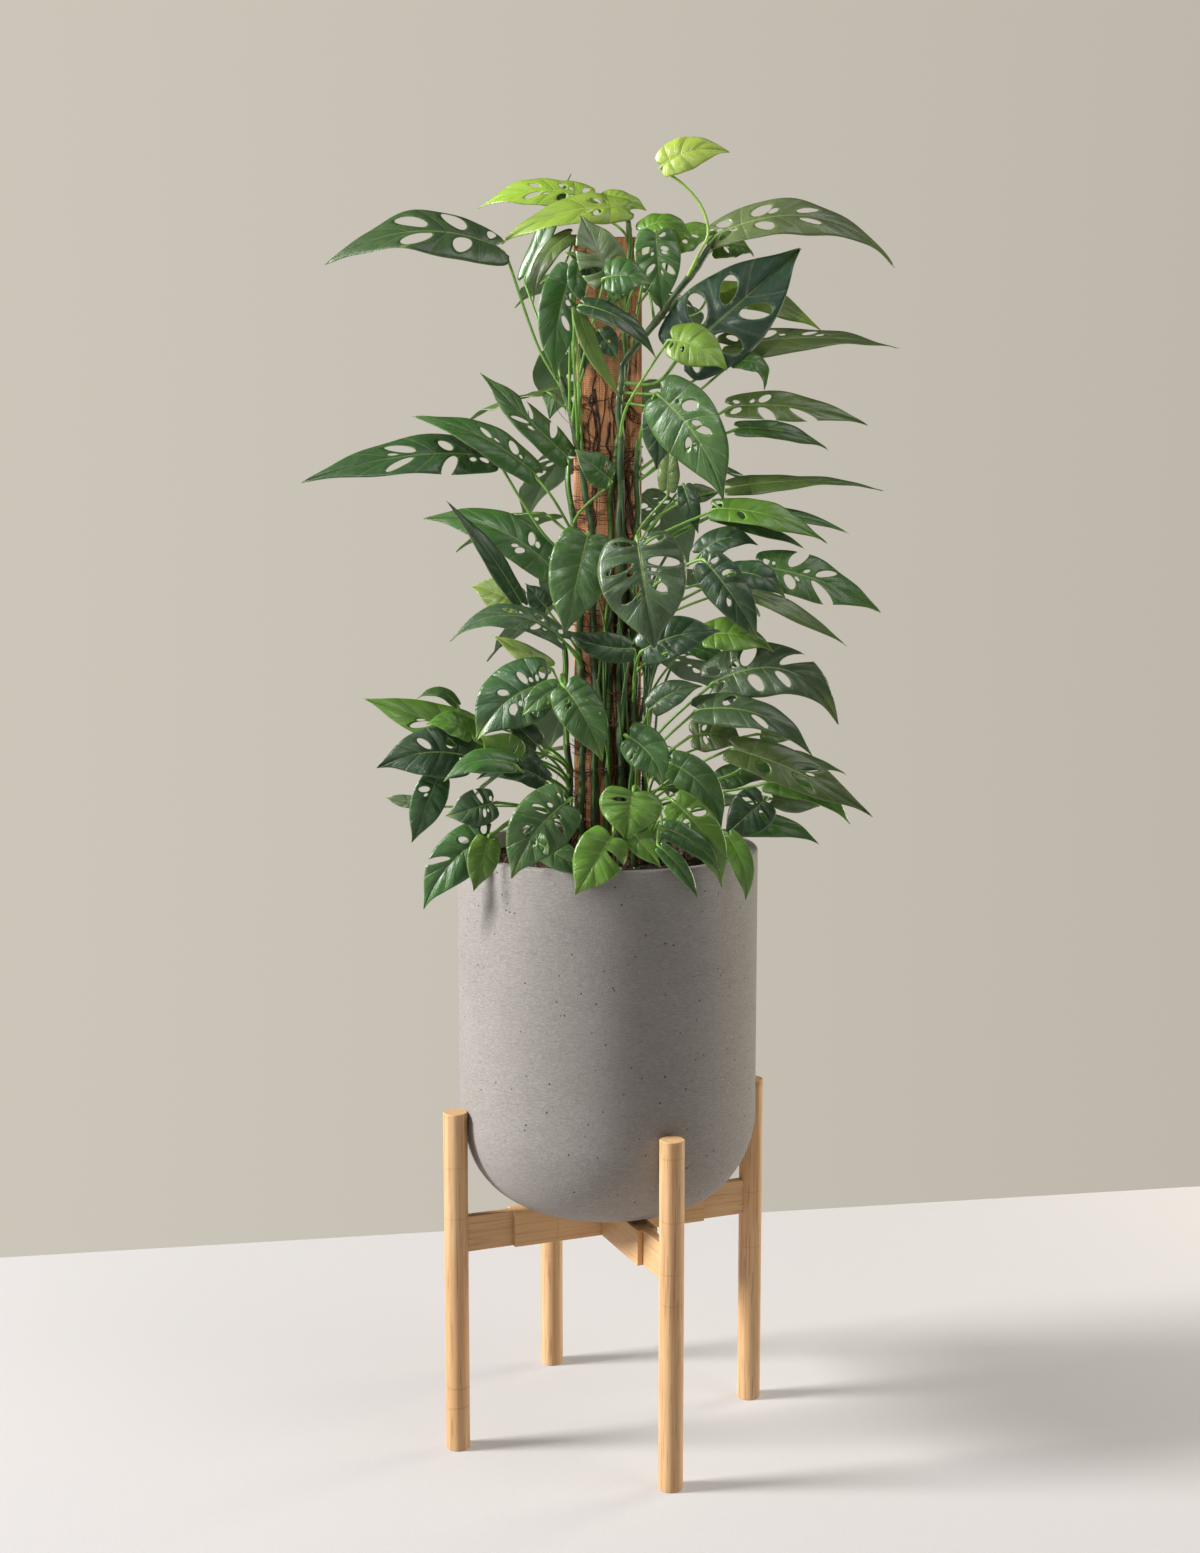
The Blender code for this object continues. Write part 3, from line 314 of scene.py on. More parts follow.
FRONT_ROWS = (
    ("vine_top_left", (
        ("slate", (-114, 1257, 30), (-289, 1237, 60), 42, -58, 0.13, "oOO:.OO", 1112,
         ((-72, 1158, 28), (-101, 1241, 28))),
        ("mid", (-84, 1227, -25), (-37, 1330, -35), 20, 35, 0, "..s:.s.", 1085, ((-60, 1150, -5),)),
        ("olive", (-38, 1268, 20), (-76, 1199, 24), 19, -35, 0.15, ".oo:...", 1118, ((-58, 1190, 12),)),
        ("mid", (-37, 1230, 62), (-53, 1122, 66), 44, 8, 0.06, "...:ooo", 1100, ((-34, 1180, 36), (-36, 1226, 44))),
        ("mid", (-6, 1221, 74), (-45, 1252, 82), 22, -30, 0.1, "", 1078),
        ("mid", (-29, 1240, 88), (-25, 1199, 90), 20, 10, 0.1, "", 1090),
        ("soft", (-30, 1191, 102), (15, 1103, 96), 16, 45, 0.04, "", 1062, ((-30, 1120, 66), (-35, 1182, 84))),
        ("deep", (-24, 1198, 110), (50, 1144, 112), 20, 35, -0.12, "", 1060),
        ("deep", (-8, 1172, 60), (10, 1143, 62), 26, 0, 0, "", 1080),
        ("deep", (-20, 1174, 46), (-24, 1130, 48), 18, 10, 0, "", 1045),
    )),
    ("vine_lime", (
        ("lime", (-21, 1306, -16), (-133, 1294, -30), 26, -50, 0.1, "ooo:.oo", 1277),
        ("fresh", (17, 1294, 12), (-111, 1259, 2), 28, -50, 0.1, ".o.:.o.", 1272),
        ("fresh", (-6, 1300, -22), (40, 1292, -26), 22, 45, -0.12, "", 1262),
        ("grey", (4, 1222, 92), (-28, 1290, 84), 46, -15, 0, "oo.:sss", 1180),
        ("mid", (-1, 1226, 104), (44, 1219, 108), 34, 25, -0.1, "", 1170),
        ("mid", (24, 1222, 56), (-6, 1192, 58), 16, -25, 0.05, "", 1190),
    )),
    ("vine_top_right", (
        ("bright", (34, 1272, 26), (85, 1268, 26), 20, 50, -0.22, "", 1180),
        ("mid", (49, 1270, 50), (55, 1191, 54), 46, 5, 0, ".oo:ooo", 1150),
        ("bright", (66, 1258, 4), (113, 1268, -4), 27, 45, -0.15, ".oo:...", 1190),
        ("grey", (114, 1270, 12), (293, 1234, -10), 32, 52, -0.18, "ooo:ooo", 1252),
        ("fresh", (66, 1163, 66), (123, 1132, 74), 42, 20, -0.1, "oo.:...", 1060, ((18, 1092, 52), (38, 1127, 62))),
        ("bright", (107, 1254, -6), (149, 1246, -20), 24, 45, -0.2, ".o.:...", 1235),
        ("pale", (56, 1337, 40), (124, 1349, 40), 32, 25, -0.12, "", 1225,
         ((92, 1248, 38), (102, 1270, 40), (95, 1296, 40), (76, 1318, 40))),
        ("blue", (77, 1150, 40), (198, 1257, 14), 86, 12, 0, "oOO:oOO", 1120, ((50, 1120, 42),)),
        ("fresh", (109, 1212, -20), (220, 1171, -26), 27, 45, -0.08, "", 1185, ((90, 1190, -2),)),
        ("olive", (125, 1157, 8), (299, 1155, -46), 32, 40, -0.05, "...:ooo", 1110, ((60, 1110, 46), (100, 1130, 30)),
         40),
        ("mid", (131, 1141, 42), (161, 1112, 46), 18, 40, -0.35, "", 1100, ((70, 1098, 50),)),
    )),
    ("vine_mid_right", (
        ("mid", (54, 1106, 104), (120, 1000, 116), 64, -12, -0.08, "..o:.oo", 1050),
        ("deep", (56, 1100, 84), (50, 1031, 84), 38, 0, 0, "", 1054),
        ("olive", (62, 1012, 44), (64, 1065, 46), 22, 20, 0, "", 960),
        ("olive", (129, 1096, 32), (269, 1077, 24), 28, 38, -0.06, "oss:oo.", 1030, ((85, 1070, 34),)),
        ("mid", (136, 1074, 12), (229, 1051, 0), 18, 45, -0.08, ".o.:...", 1020, ((80, 1052, 20),)),
        ("olive", (130, 1014, 22), (286, 1011, 4), 21, 45, -0.05, "...:so.", 970, ((80, 1000, 28),), 40),
        ("bright", (113, 992, 52), (229, 956, 60), 27, 40, -0.08, ".o.:o..", 940),
        ("mid", (116, 990, 26), (251, 966, 14), 16, 45, -0.06, "", 930),
        ("mid", (112, 984, 24), (206, 950, -2), 15, 45, -0.04, "", 920),
        ("grey", (84, 1008, 22), (116, 1008, 18), 19, 25, 0, "", 945),
        ("deep", (79, 1014, 30), (94, 966, 34), 22, 0, 0, ".o.:o..", 932),
        ("slate", (31, 958, 148), (49, 846, 156), 86, 0, 0, "ooo:ooo", 900),
        ("mid", (160, 932, 26), (285, 884, 16), 44, 35, -0.06, "sos:oso", 870, ((100, 910, 34),)),
        ("deep", (96, 946, 62), (157, 954, 60), 26, 28, -0.2, ".o.:oo.", 890),
        ("deep", (129, 926, 80), (186, 898, 84), 28, 35, -0.15, "", 875),
        ("deep", (103, 936, 100), (157, 853, 106), 42, 8, -0.04, "..o:oo.", 880),
        ("olive", (139, 909, 60), (250, 849, 52), 17, 40, -0.04, ".o.:.o.", 850),
        ("bright", (103, 861, 66), (174, 844, 68), 32, 35, -0.12, "", 815),
        ("deep", (38, 846, 112), (119, 865, 116), 42, 15, -0.08, ".o.:...", 800),
    )),
    ("vine_mid_left", (
        ("mid", (-21, 963, 134), (-46, 860, 140), 60, 4, 0, "", 890),
        ("teal", (-126, 1046, 44), (-318, 1018, 90), 40, -40, 0.06, "ooo:oso", 935,
         ((-63, 962, 40), (-89, 1000, 42), (-112, 1038, 44))),
        ("mid", (-77, 1029, 56), (-202, 1086, 60), 31, -38, 0.08, ".oo:...", 962, ((-55, 1000, 52),)),
        ("mid", (-43, 1046, 24), (-132, 1131, 14), 31, -32, 0, "oss:..o", 990, ((-41, 1015, 28),)),
        ("mid", (-60, 933, 40), (-193, 982, 26), 42, -22, 0.12, "oo.:.o.", 880),
        ("deep", (-91, 896, 68), (-167, 1001, 66), 20, -40, 0.03, "", 830),
        ("soft", (-92, 893, 30), (-143, 912, 22), 36, -15, 0.05, "oo.:...", 825),
        ("deep", (-64, 890, 36), (-86, 915, 34), 24, -15, 0, ".o.:...", 835),
        ("mid", (1, 1023, 62), (-34, 1053, 66), 30, -30, 0, ".o.:...", 975),
    )),
    ("vine_mid_right", (
        ("deep", (23, 847, 66), (-44, 867, 70), 30, -18, -0.08, "", 790),
    )),
    ("vine_low_left", (
        ("slate", (-48, 858, 84), (-167, 854, 98), 26, -45, 0.22, "ooo:oo.", 790),
        ("soft", (-61, 828, 44), (-121, 862, 38), 20, -25, 0, "o..:...", 780),
        ("teal", (-64, 811, 104), (-139, 749, 112), 66, -12, 0.12, "ooo:ooo", 745),
        ("mid", (-44, 806, 140), (-5, 727, 150), 46, 8, -0.05, ".o.:...", 805),
        ("mid", (-52, 806, 130), (-90, 776, 138), 26, -10, 0.06, "", 790),
        ("bright", (-134, 756, 52), (-257, 795, 50), 40, -22, 0, "...:..o", 700),
        ("deep", (-147, 734, 86), (-244, 721, 96), 52, -12, 0.1, ".oo:o..", 690),
        ("bright", (-143, 758, 98), (-192, 768, 104), 24, -35, 0.15, "", 705),
        ("mid", (-158, 789, 70), (-200, 794, 76), 12, -30, 0.25, "", 720),
        ("bright", (-95, 729, 124), (-134, 756, 136), 40, -10, 0, ".o.:.o.", 680),
        ("deep", (-74, 746, 96), (-108, 779, 100), 27, -10, 0, "s..:.o.", 700),
        ("mid", (-100, 726, 146), (-173, 706, 156), 24, -30, 0.16, "", 665),
        ("deep", (-104, 744, 104), (-66, 727, 110), 20, 10, 0, "", 715),
        ("teal", (-179, 711, 76), (-207, 641, 80), 35, 8, 0, ".o.:...", 675),
        ("grey", (-199, 684, 44), (-235, 690, 38), 14, -18, 0, "", 662),
        ("slate", (-121, 684, 96), (-172, 670, 104), 38, -10, 0, "os.:.o.", 655),
        ("deep", (-66, 708, 122), (-139, 709, 128), 27, -25, 0.18, ".o.:...", 660),
        ("mid", (-45, 684, 160), (-102, 602, 168), 60, 0, 0.08, "ooo:.oo", 650),
        ("bright", (-126, 645, 116), (-142, 589, 124), 32, 8, 0, "", 640, ((-90, 668, 80),)),
        ("mid", (-125, 650, 102), (-196, 569, 106), 48, -8, 0.1, "oos:o..", 636, ((-90, 664, 60),)),
        ("deep", (-72, 656, 142), (-100, 619, 150), 22, 0, 0, "", 642),
        ("mid", (-71, 640, 154), (-15, 607, 166), 30, -8, 0, ".o.:...", 634, ((-60, 664, 132),)),
    )),
    ("vine_low_right", (
        ("bright", (4, 648, 170), (-35, 585, 180), 50, 0, 0, "...:.s.", 640, ((10, 672, 142),)),
        ("bright", (27, 696, 160), (18, 645, 170), 62, 0, 0, ".o.:...", 655),
        ("bright", (25, 656, 162), (57, 615, 170), 26, 0, 0, ".o.:...", 632, ((30, 664, 130),)),
        ("mid", (23, 754, 140), (58, 703, 150), 42, 0, -0.12, ".o.:...", 700),
        ("mid", (68, 726, 118), (120, 655, 124), 37, 8, -0.14, "", 675),
        ("bright", (72, 684, 140), (121, 593, 140), 39, 8, -0.1, ".o.:.o.", 648),
        ("bright", (128, 648, 108), (146, 579, 108), 24, 0, -0.1, "", 636, ((90, 664, 80),)),
        ("mid", (62, 657, 148), (120, 608, 150), 24, 12, -0.1, "", 645, ((55, 672, 110),)),
        ("mid", (57, 636, 172), (96, 581, 168), 17, 8, -0.06, "", 626, ((52, 662, 148),)),
        ("deep", (165, 687, 62), (123, 650, 58), 46, 0, 0, ".o.:.o.", 668),
        ("grey", (175, 689, 22), (225, 681, 14), 23, 25, 0, ".o.:.o.", 650),
        ("mid", (138, 658, 34), (224, 640, 30), 25, 18, -0.12, ".oo:.o.", 645),
        ("bright", (169, 706, 62), (256, 661, 60), 27, 28, -0.15, ".o.:...", 662),
        ("olive", (134, 741, 72), (281, 669, 78), 38, 30, -0.05, ".oo:..o", 680),
        ("mid", (144, 723, 42), (252, 714, 24), 21, 42, -0.1, ".o.:...", 670),
        ("mid", (118, 708, 28), (169, 707, 20), 25, 30, -0.15, ".o.:...", 690),
        ("slate", (96, 783, 84), (216, 733, 96), 33, 38, -0.15, "..o:.o.", 720),
        ("slate", (113, 813, 62), (244, 766, 58), 54, 28, -0.26, "ooo:oos", 735),
        ("slate", (47, 786, 78), (100, 808, 80), 28, 15, -0.1, ".o.:s..", 745),
        ("olive", (90, 756, 60), (145, 747, 58), 35, 28, -0.1, ".o.:.o.", 710),
        ("mid", (88, 848, 40), (138, 826, 38), 17, 35, -0.05, ".s.:...", 790),
        ("soft", (162, 757, 2), (192, 751, -4), 13, 20, 0, "", 700),
    )),
)

# Leaves on the side that the photograph doesn't show. Their width is the real one, their roll is from lying flat.
BACK_ROWS = (
    ("vine_back_left", (
        ("mid", (-42, 1232, -52), (-96, 1196, -140), 58, 14, 0.05, ".o.:.oo", 1180),
        ("mid", (-34, 1150, -60), (-60, 1084, -160), 68, -10, 0, ".oo:o..", 1090),
        ("olive", (-62, 1110, -44), (-150, 1076, -112), 52, 12, 0.05, ".oo:.o.", 1060),
        ("mid", (-36, 1052, -62), (-88, 978, -166), 72, 8, 0, ".o.:.oo", 1000),
        ("bright", (-62, 985, -46), (-158, 946, -106), 56, -12, 0.05, ".oo:o..", 935),
        ("mid", (-32, 946, -66), (-48, 872, -170), 72, 6, 0, ".oo:.o.", 890),
        ("deep", (-56, 893, -56), (-128, 834, -142), 66, 14, 0.05, ".o.:.oo", 840),
        ("mid", (-34, 800, -66), (-66, 732, -172), 70, 10, 0, ".oo:.o.", 745),
        ("olive", (-60, 738, -56), (-142, 694, -138), 60, 6, 0.05, ".o.:.oo", 690),
    )),
    ("vine_back_right", (
        ("mid", (44, 1212, -54), (92, 1168, -146), 60, -12, 0.05, ".oo:.o.", 1165),
        ("bright", (30, 1118, -66), (54, 1046, -166), 72, 8, 0, ".oo:o..", 1060),
        ("mid", (64, 1046, -46), (152, 1010, -118), 56, -10, 0.05, ".oo:.o.", 995),
        ("mid", (34, 1006, -64), (84, 930, -164), 70, 10, 0, ".o.:.oo", 950),
        ("olive", (64, 926, -48), (160, 882, -110), 58, 12, 0.05, ".oo:o..", 875),
        ("mid", (30, 892, -68), (42, 816, -172), 72, -6, 0, ".oo:.o.", 835),
        ("deep", (58, 842, -58), (132, 784, -146), 64, 8, 0.05, ".o.:.oo", 785),
        ("mid", (34, 752, -66), (64, 690, -176), 66, -8, 0, ".oo:.o.", 700),
        ("bright", (64, 700, -52), (150, 668, -128), 54, 10, 0.05, ".o.:.oo", 655),
    )),
)


def leaves_of(rows):
    return [Leaf(vine, *row) for vine, group in rows for row in group]


LEAVES, BACK_LEAVES = leaves_of(FRONT_ROWS), leaves_of(BACK_ROWS)
print(len(LEAVES), "leaves at the front,", len(BACK_LEAVES), "behind")

# %% [markdown]
# ## The form of a blade
# A blade is thought of as a chart. `q` counts the side veins from the base (0) to the tip (4), and `r` runs from
# the midrib (0) to the margin (1, or -1 on the other side). `MIDRIB` and `MARGIN` say where each vein starts and
# ends. The chart is then laid on the same curved surface that the CAD model uses.

# %% The chart of a blade
MIDRIB = ((0.0, 0.0), (0.045, 0.0), (0.10, 0.0), (0.185, 0.0), (0.28, 0.0), (0.385, 0.0), (0.50, 0.0),
          (0.70, 0.0), (1.0, 0.0))
MARGIN = ((-0.06, 0.34), (-0.035, 0.72), (0.12, 0.94), (0.26, 1.0), (0.42, 0.95), (0.575, 0.80), (0.72, 0.54),
          (0.865, 0.20), (1.0, 0.0))
TIP, VEIN_SWEEP = 3.97, 1.15


def smooth_row(row, q):
    """The point of a row of points at q: a Catmull-Rom curve through one point for each half step of q."""
    row = np.array(row)
    row = np.vstack([2 * row[0] - row[1], row, 2 * row[-1] - row[-2]])
    t = np.clip(np.asarray(q, float) * 2, 0, len(row) - 3.000001)
    i = t.astype(int)
    t = (t - i)[:, None]
    a, b, c, d = row[i], row[i + 1], row[i + 2], row[i + 3]
    return 0.5 * (2 * b + (c - a) * t + (2 * a - 5 * b + 4 * c - d) * t**2 + (3 * b - 3 * c + d - a) * t**3)


def chart_place(q, r):
    """(s, v) on the blade for a place on the chart: s along the midrib, v across it."""
    inner, outer = smooth_row(MIDRIB, q), smooth_row(MARGIN, q)
    s = inner[:, 0] + (outer[:, 0] - inner[:, 0]) * np.abs(r) ** VEIN_SWEEP
    return s, outer[:, 1] * r


def unit(v):
    return v / np.maximum(np.linalg.norm(v, axis=-1, keepdims=True), 1e-12)


def seen(side, height, depth):
    """The point depth mm in front of the board's middle that is seen from EYE at side and height (mm)."""
    flat = np.array((side * MM, 0.0, height * MM))
    return flat + (EYE - flat) * (depth * MM / -EYE[1])


def half_width(leaf):
    return leaf.wide * MM / 2 / math.cos(math.radians(leaf.roll))


def blade_surface(leaf, looks_up, s, v):
    """The points of the blade at s along its midrib and v across it, and the upward direction there."""
    base, tip = seen(*leaf.base), seen(*leaf.tip)
    chord = tip - base
    length = np.linalg.norm(chord)
    look = np.array((0.0, 0.0, 1.0)) if looks_up else EYE - base
    face = unit(look - chord * look.dot(chord) / length**2)
    across = unit(np.cross(chord, face))
    s, v = s[:, None], v[:, None]
    slope = 4 * (1 - 2 * np.clip(s, 0, 1)) * length
    ahead = unit(chord + across * leaf.bow * slope + face * ARCH * slope)
    front = unit(face - ahead * (ahead @ face)[:, None])
    side = np.cross(ahead, front)
    turn = np.radians(leaf.roll + leaf.twist * s)
    out = side * np.cos(turn) + front * np.sin(turn)
    up = front * np.cos(turn) - side * np.sin(turn)
    bulge = 4 * s * (1 - s) * length
    middle = base + chord * s + (across * leaf.bow + face * ARCH) * bulge
    half = half_width(leaf)
    return middle + out * (v * half) + up * half * (FOLD * np.abs(v) - DROOP * v * v), up


print("the widest blade is", round(max(half_width(leaf) for leaf in LEAVES) * 2 / MM), "mm")

# %% [markdown]
# ## Holes
# A hole lies between two side veins and reaches from near the midrib to near the margin. A slit is a hole whose
# outer end has torn open. Small holes lie beside the large ones, near the midrib. A boolean cut of every hole would
# be slow and would leave slivers. Here each hole is a loop on the chart. A constrained Delaunay triangulation fills
# the chart round the loops, and the triangles inside a loop are dropped.

# %% Loops and triangles
LOOP_POINTS, CLEARANCE, SMALL_HOLE_CHANCE = 18, 0.035, 0.55
# The steps of the grid from base to tip, and from the midrib to each margin.
FINE_GRID, COARSE_GRID = (44, 11), (26, 6)


def hole_loop(cell, side, kind, draw):
    """The loop of one hole or slit on the chart, and the oval that keeps the grid clear of it."""
    middle = cell + 0.5 + draw.uniform(-0.06, 0.06)
    wide = draw.uniform(0.12, 0.22)
    near, far = draw.uniform(0.12, 0.22), draw.uniform(0.48, 0.88)
    if kind == "O":
        wide, far = draw.uniform(0.22, 0.29), draw.uniform(0.74, 0.88)
    elif kind == "s":
        far = 1.16
    elif kind == "small":
        middle += draw.choice((-0.33, 0.33))
        wide, far = draw.uniform(0.07, 0.11), near + draw.uniform(0.14, 0.26)
    centre, reach = (near + far) / 2, (far - near) / 2
    turns = np.linspace(0, 2 * math.pi, LOOP_POINTS, endpoint=False)
    q = middle + wide * np.sin(turns) * (1 - 0.18 * np.cos(turns))
    r = centre + reach * np.cos(turns)
    return np.column_stack([q, side * r]), (middle, side * centre, wide * 1.03 + CLEARANCE, reach * 1.02 + CLEARANCE)


def in_loop(loop, q, r):
    """Even-odd test of many points against one closed loop."""
    found = np.zeros(len(q), bool)
    for (q0, r0), (q1, r1) in zip(loop, np.roll(loop, -1, axis=0)):
        if r0 != r1:
            found ^= ((r0 > r) != (r1 > r)) & (q < (q1 - q0) * (r - r0) / (r1 - r0) + q0)
    return found


def loop_edges(start, count):
    return [(start + i, start + (i + 1) % count) for i in range(count)]


def chart_triangles(holes, draw, fine):
    """The points and the triangles of the chart of one blade, with its holes cut out."""
    loops = []
    for side, kinds in zip((1, -1), holes.split(":")):
        for cell, kind in enumerate(kinds):
            if kind in "oOs":
                loops.append(hole_loop(cell, side, kind, draw))
            if kind == "o" and fine and draw.random() < SMALL_HOLE_CHANCE:
                loops.append(hole_loop(cell, side, "small", draw))
    steps_q, steps_r = FINE_GRID if fine else COARSE_GRID
    qs, rs = TIP * np.linspace(0, 1, steps_q + 1), np.linspace(-1, 1, 2 * steps_r + 1)
    rim = [(0.0, r) for r in rs] + [(q, 1.0) for q in qs[1:]] + [(TIP, 0.0)] + [(q, -1.0) for q in qs[:0:-1]]
    grid = np.array([(q, r) for q in qs[1:-1] for r in rs[1:-1]])
    for _, (q0, r0, wide, reach) in loops:
        grid = grid[((grid[:, 0] - q0) / wide) ** 2 + ((grid[:, 1] - r0) / reach) ** 2 >= 1]
    points, edges, start = [rim, grid], loop_edges(0, len(rim)), len(rim) + len(grid)
    for loop, _ in loops:
        points.append(loop)
        edges += loop_edges(start, len(loop))
        start += len(loop)
    made = delaunay_2d_cdt([Vector(p) for p in np.concatenate(points)], edges, [], 0, 1e-6, False)
    flat, faces = np.array([tuple(p) for p in made[0]]), np.array(made[2])
    middle_q, middle_r = flat[faces].mean(axis=1).T
    keep = (np.abs(middle_r) < 1) & (middle_q > 0) & (middle_q < TIP)
    for loop, _ in loops:
        keep &= ~in_loop(loop, middle_q, middle_r)
    used, faces = np.unique(faces[keep], return_inverse=True)
    return flat[used], faces.reshape(-1, 3)


def boundary(faces):
    """The directed edges that only one triangle has."""
    edges = np.concatenate([faces[:, [0, 1]], faces[:, [1, 2]], faces[:, [2, 0]]])
    key = np.sort(edges, axis=1)
    _, index, count = np.unique(key, axis=0, return_inverse=True, return_counts=True)
    return edges[count[index.reshape(-1)] == 1]


print("one hole has", len(hole_loop(0, 1, "o", random.Random(1))[0]), "points")

# %% [markdown]
# ## From the chart to a thin solid blade
# The blade is quilted: it rises a little between its side veins and sinks at each of them, and its margin waves.
# It then gets a top and an under side, half a millimetre apart, joined along every edge, so that it is a closed
# solid whose two sides can have their own colour.

# %% One blade
BLADE_HALF = 0.25 * MM
FINE_FROM, LARGEST = 14 * MM, 50 * MM
FRONT_SEED, BACK_SEED = 900, 1400
QUILT_HEIGHT, WAVE_HEIGHT, TIP_BEND = 0.050, 0.115, (-0.10, 0.30)
WAVES = ((0.85, 2.2), (0.30, 5.0))
RIB_POINTS, RIB_END = 14, 0.93


def quilted(q, r, draw):
    """How far the blade lifts at each point, as a share of its half width, and the bend of its tip."""
    across, along = np.abs(r), np.clip(q / TIP, 0, 1)
    vein = np.abs(np.sin(np.pi * q)) ** 0.6 + 0.45 * np.abs(np.sin(2 * np.pi * q)) ** 0.7
    quilt = vein * np.sin(np.pi * np.clip(across, 0, 1)) ** 0.7 * (1 - along) ** 0.4
    wave = sum(size * np.sin(q * draw.uniform(low, low * 1.4) + np.sign(r) * 0.8 + draw.uniform(0, FULL_TURN))
               for size, low in WAVES) * across**2
    bend = draw.uniform(*TIP_BEND)
    curl = 0.5 * bend * along**3 * (1 - 0.4 * across)
    return QUILT_HEIGHT * quilt + WAVE_HEIGHT * wave * np.sin(np.pi * np.clip(along, 0.04, 1)) ** 0.5 - curl, bend


def thin_solid(points, faces, up):
    """Both sides of a blade, joined along its open edges, and a 1 for each point on such an edge."""
    corner = points[faces]
    lean = np.cross(corner[:, 1] - corner[:, 0], corner[:, 2] - corner[:, 0])
    normal = np.zeros_like(points)
    for k in range(3):
        np.add.at(normal, faces[:, k], lean)
    normal = unit(normal)
    if (normal * up).sum() < 0:
        faces, normal = faces[:, ::-1], -normal
    n, edge, rim = len(points), boundary(faces), np.zeros(len(points))
    rim[np.unique(edge)] = 1
    solid = [tuple(f) for f in faces] + [(c + n, b + n, a + n) for a, b, c in faces]
    solid += [(b, a, a + n, b + n) for a, b in edge]
    return np.concatenate([points + normal * BLADE_HALF, points - normal * BLADE_HALF]), solid, rim


def blade(leaf, looks_up, seed):
    """One blade as (points, faces, {attribute: values}), and the line of its midrib."""
    draw = random.Random(seed)
    half = half_width(leaf)
    holes = leaf.holes if half * 2 / MM >= HOLED_FROM else ""
    chart, faces = chart_triangles(holes, draw, half > FINE_FROM)
    q, r = chart.T
    plain, up = blade_surface(leaf, looks_up, *chart_place(q, r))
    lift, bend = quilted(q, r, draw)
    points, faces, rim = thin_solid(plain + up * (half * lift)[:, None], faces, up)
    tint = np.array((draw.uniform(0.90, 1.12), 1.0, draw.uniform(0.92, 1.08))) * draw.uniform(0.86, 1.08)
    tone = np.array((*(np.array(TONES[leaf.tone]) * tint), draw.random()))
    ribs = np.linspace(0.0, RIB_END * TIP, RIB_POINTS)
    midrib, rib_up = blade_surface(leaf, looks_up, *chart_place(ribs, np.zeros(RIB_POINTS)))
    midrib = midrib - rib_up * (half * 0.5 * bend * (ribs / TIP)**3)[:, None]
    count = len(points)
    under = np.repeat((0.0, 1.0), len(q))
    return (points, faces, {
        "chart": np.tile(np.column_stack([q, r, rim]), (2, 1)),
        "tone": np.tile(tone, (count, 1)),
        "leaf": np.column_stack([np.full(count, draw.random()), under, np.full(count, half / LARGEST)])}), midrib


sample = blade(LEAVES[0], False, FRONT_SEED)[0]
print("one blade has", len(sample[0]), "points and", len(sample[1]), "faces")

# %% [markdown]
# ## The finish of a leaf
# The upper side is semi-gloss. Its colour is the leaf's own tone, a little lighter along the midrib and the side
# veins and along the rim of each hole, and it varies in soft patches. Painted shade darkens it in the troughs at the
# side veins and along fine creases. A few leaves have yellow spots. The under side is paler and duller. The bump
# holds the fine net of veins, which is too small to model.

# %% The leaf finish
def leaf_finish():
    leaf = Finish("living_leaf", "#3f8038", 0.38, Coat_Roughness=0.25)
    q, r, rim = leaf.parts(leaf.attribute("chart", "Vector"))
    chance, under, size = leaf.parts(leaf.attribute("leaf", "Vector"))
    tone, place = leaf.attribute("tone", "Color"), leaf.position()
    off_vein = abs((q + 0.5).fraction() - 0.5)
    side_vein, shaded_trough = off_vein.within(0.010, 0.050), off_vein.within(0.0, 0.30)
    small_vein = abs((q * 2 + 0.5).fraction() - 0.5).within(0.02, 0.08)
    midrib = abs(r).within(0.018, 0.055)
    patches = leaf.grain(place, 26.0, 3.0, 0.6).between(0.32, 0.68)
    blotch = leaf.grain(place, 140.0, 3.0, 0.6).between(0.45, 0.80)
    spots = leaf.cells(place, 55.0).within(0.05, 0.11) * chance.between(0.86, 0.90)
    near_tip = (q + chance * 0.3).between(3.6, 4.15)
    net = leaf.cells(place, 520.0, "DISTANCE_TO_EDGE").between(0.0, 0.16)
    spread = leaf.add("ShaderNodeCombineXYZ", None, {"X": q * 5.0 - abs(r) * 1.5, "Y": r * 1.3, "Z": chance * 40.0})
    shaded_crease = leaf.grain(spread, 1.5, 3.0, 0.6).between(0.25, 0.75)
    light, dark = leaf.mix(0.5, tone, "#b7c765"), leaf.mix(0.6, tone, "#122a1a")
    # Painted shade: the dark mix darkens the troughs at the side veins and the fine creases, where the blade sinks.
    body = leaf.coats(tone, (0.34 * patches, dark), (0.22 * shaded_trough, dark), (0.10 * blotch, "#9fb84c"),
                      (0.8 * spots, "#c9bb45"), (0.30 * near_tip * chance, "#a9bd4e"),
                      (0.10 * side_vein + 0.04 * small_vein, light), (0.50 * midrib, light),
                      (0.34 * rim.between(0.70, 1.0), "#9aad5c"), (0.22 * shaded_crease.between(0.55, 1.0), dark))
    leaf.paint(Base_Color=leaf.mix(under, body, leaf.mix(0.40, body, "#84a07c")),
               Roughness=0.30 + 0.10 * patches + 0.16 * under + 0.05 * (1 - net),
               Coat_Weight=0.22 * (1 - under))
    quilt = 0.6 * (1 - side_vein) + 0.35 * (1 - small_vein) - 0.5 * midrib - 0.5 * shaded_trough + 0.9 * (1 - shaded_crease)
    leaf.relief((0.18 * net + quilt) * size.between(0.2, 0.7, 0.35, 1.0), 0.55, 0.0008)
    return leaf


living_leaf = leaf_finish()
print("leaf finish nodes:", len(living_leaf.tree.nodes))

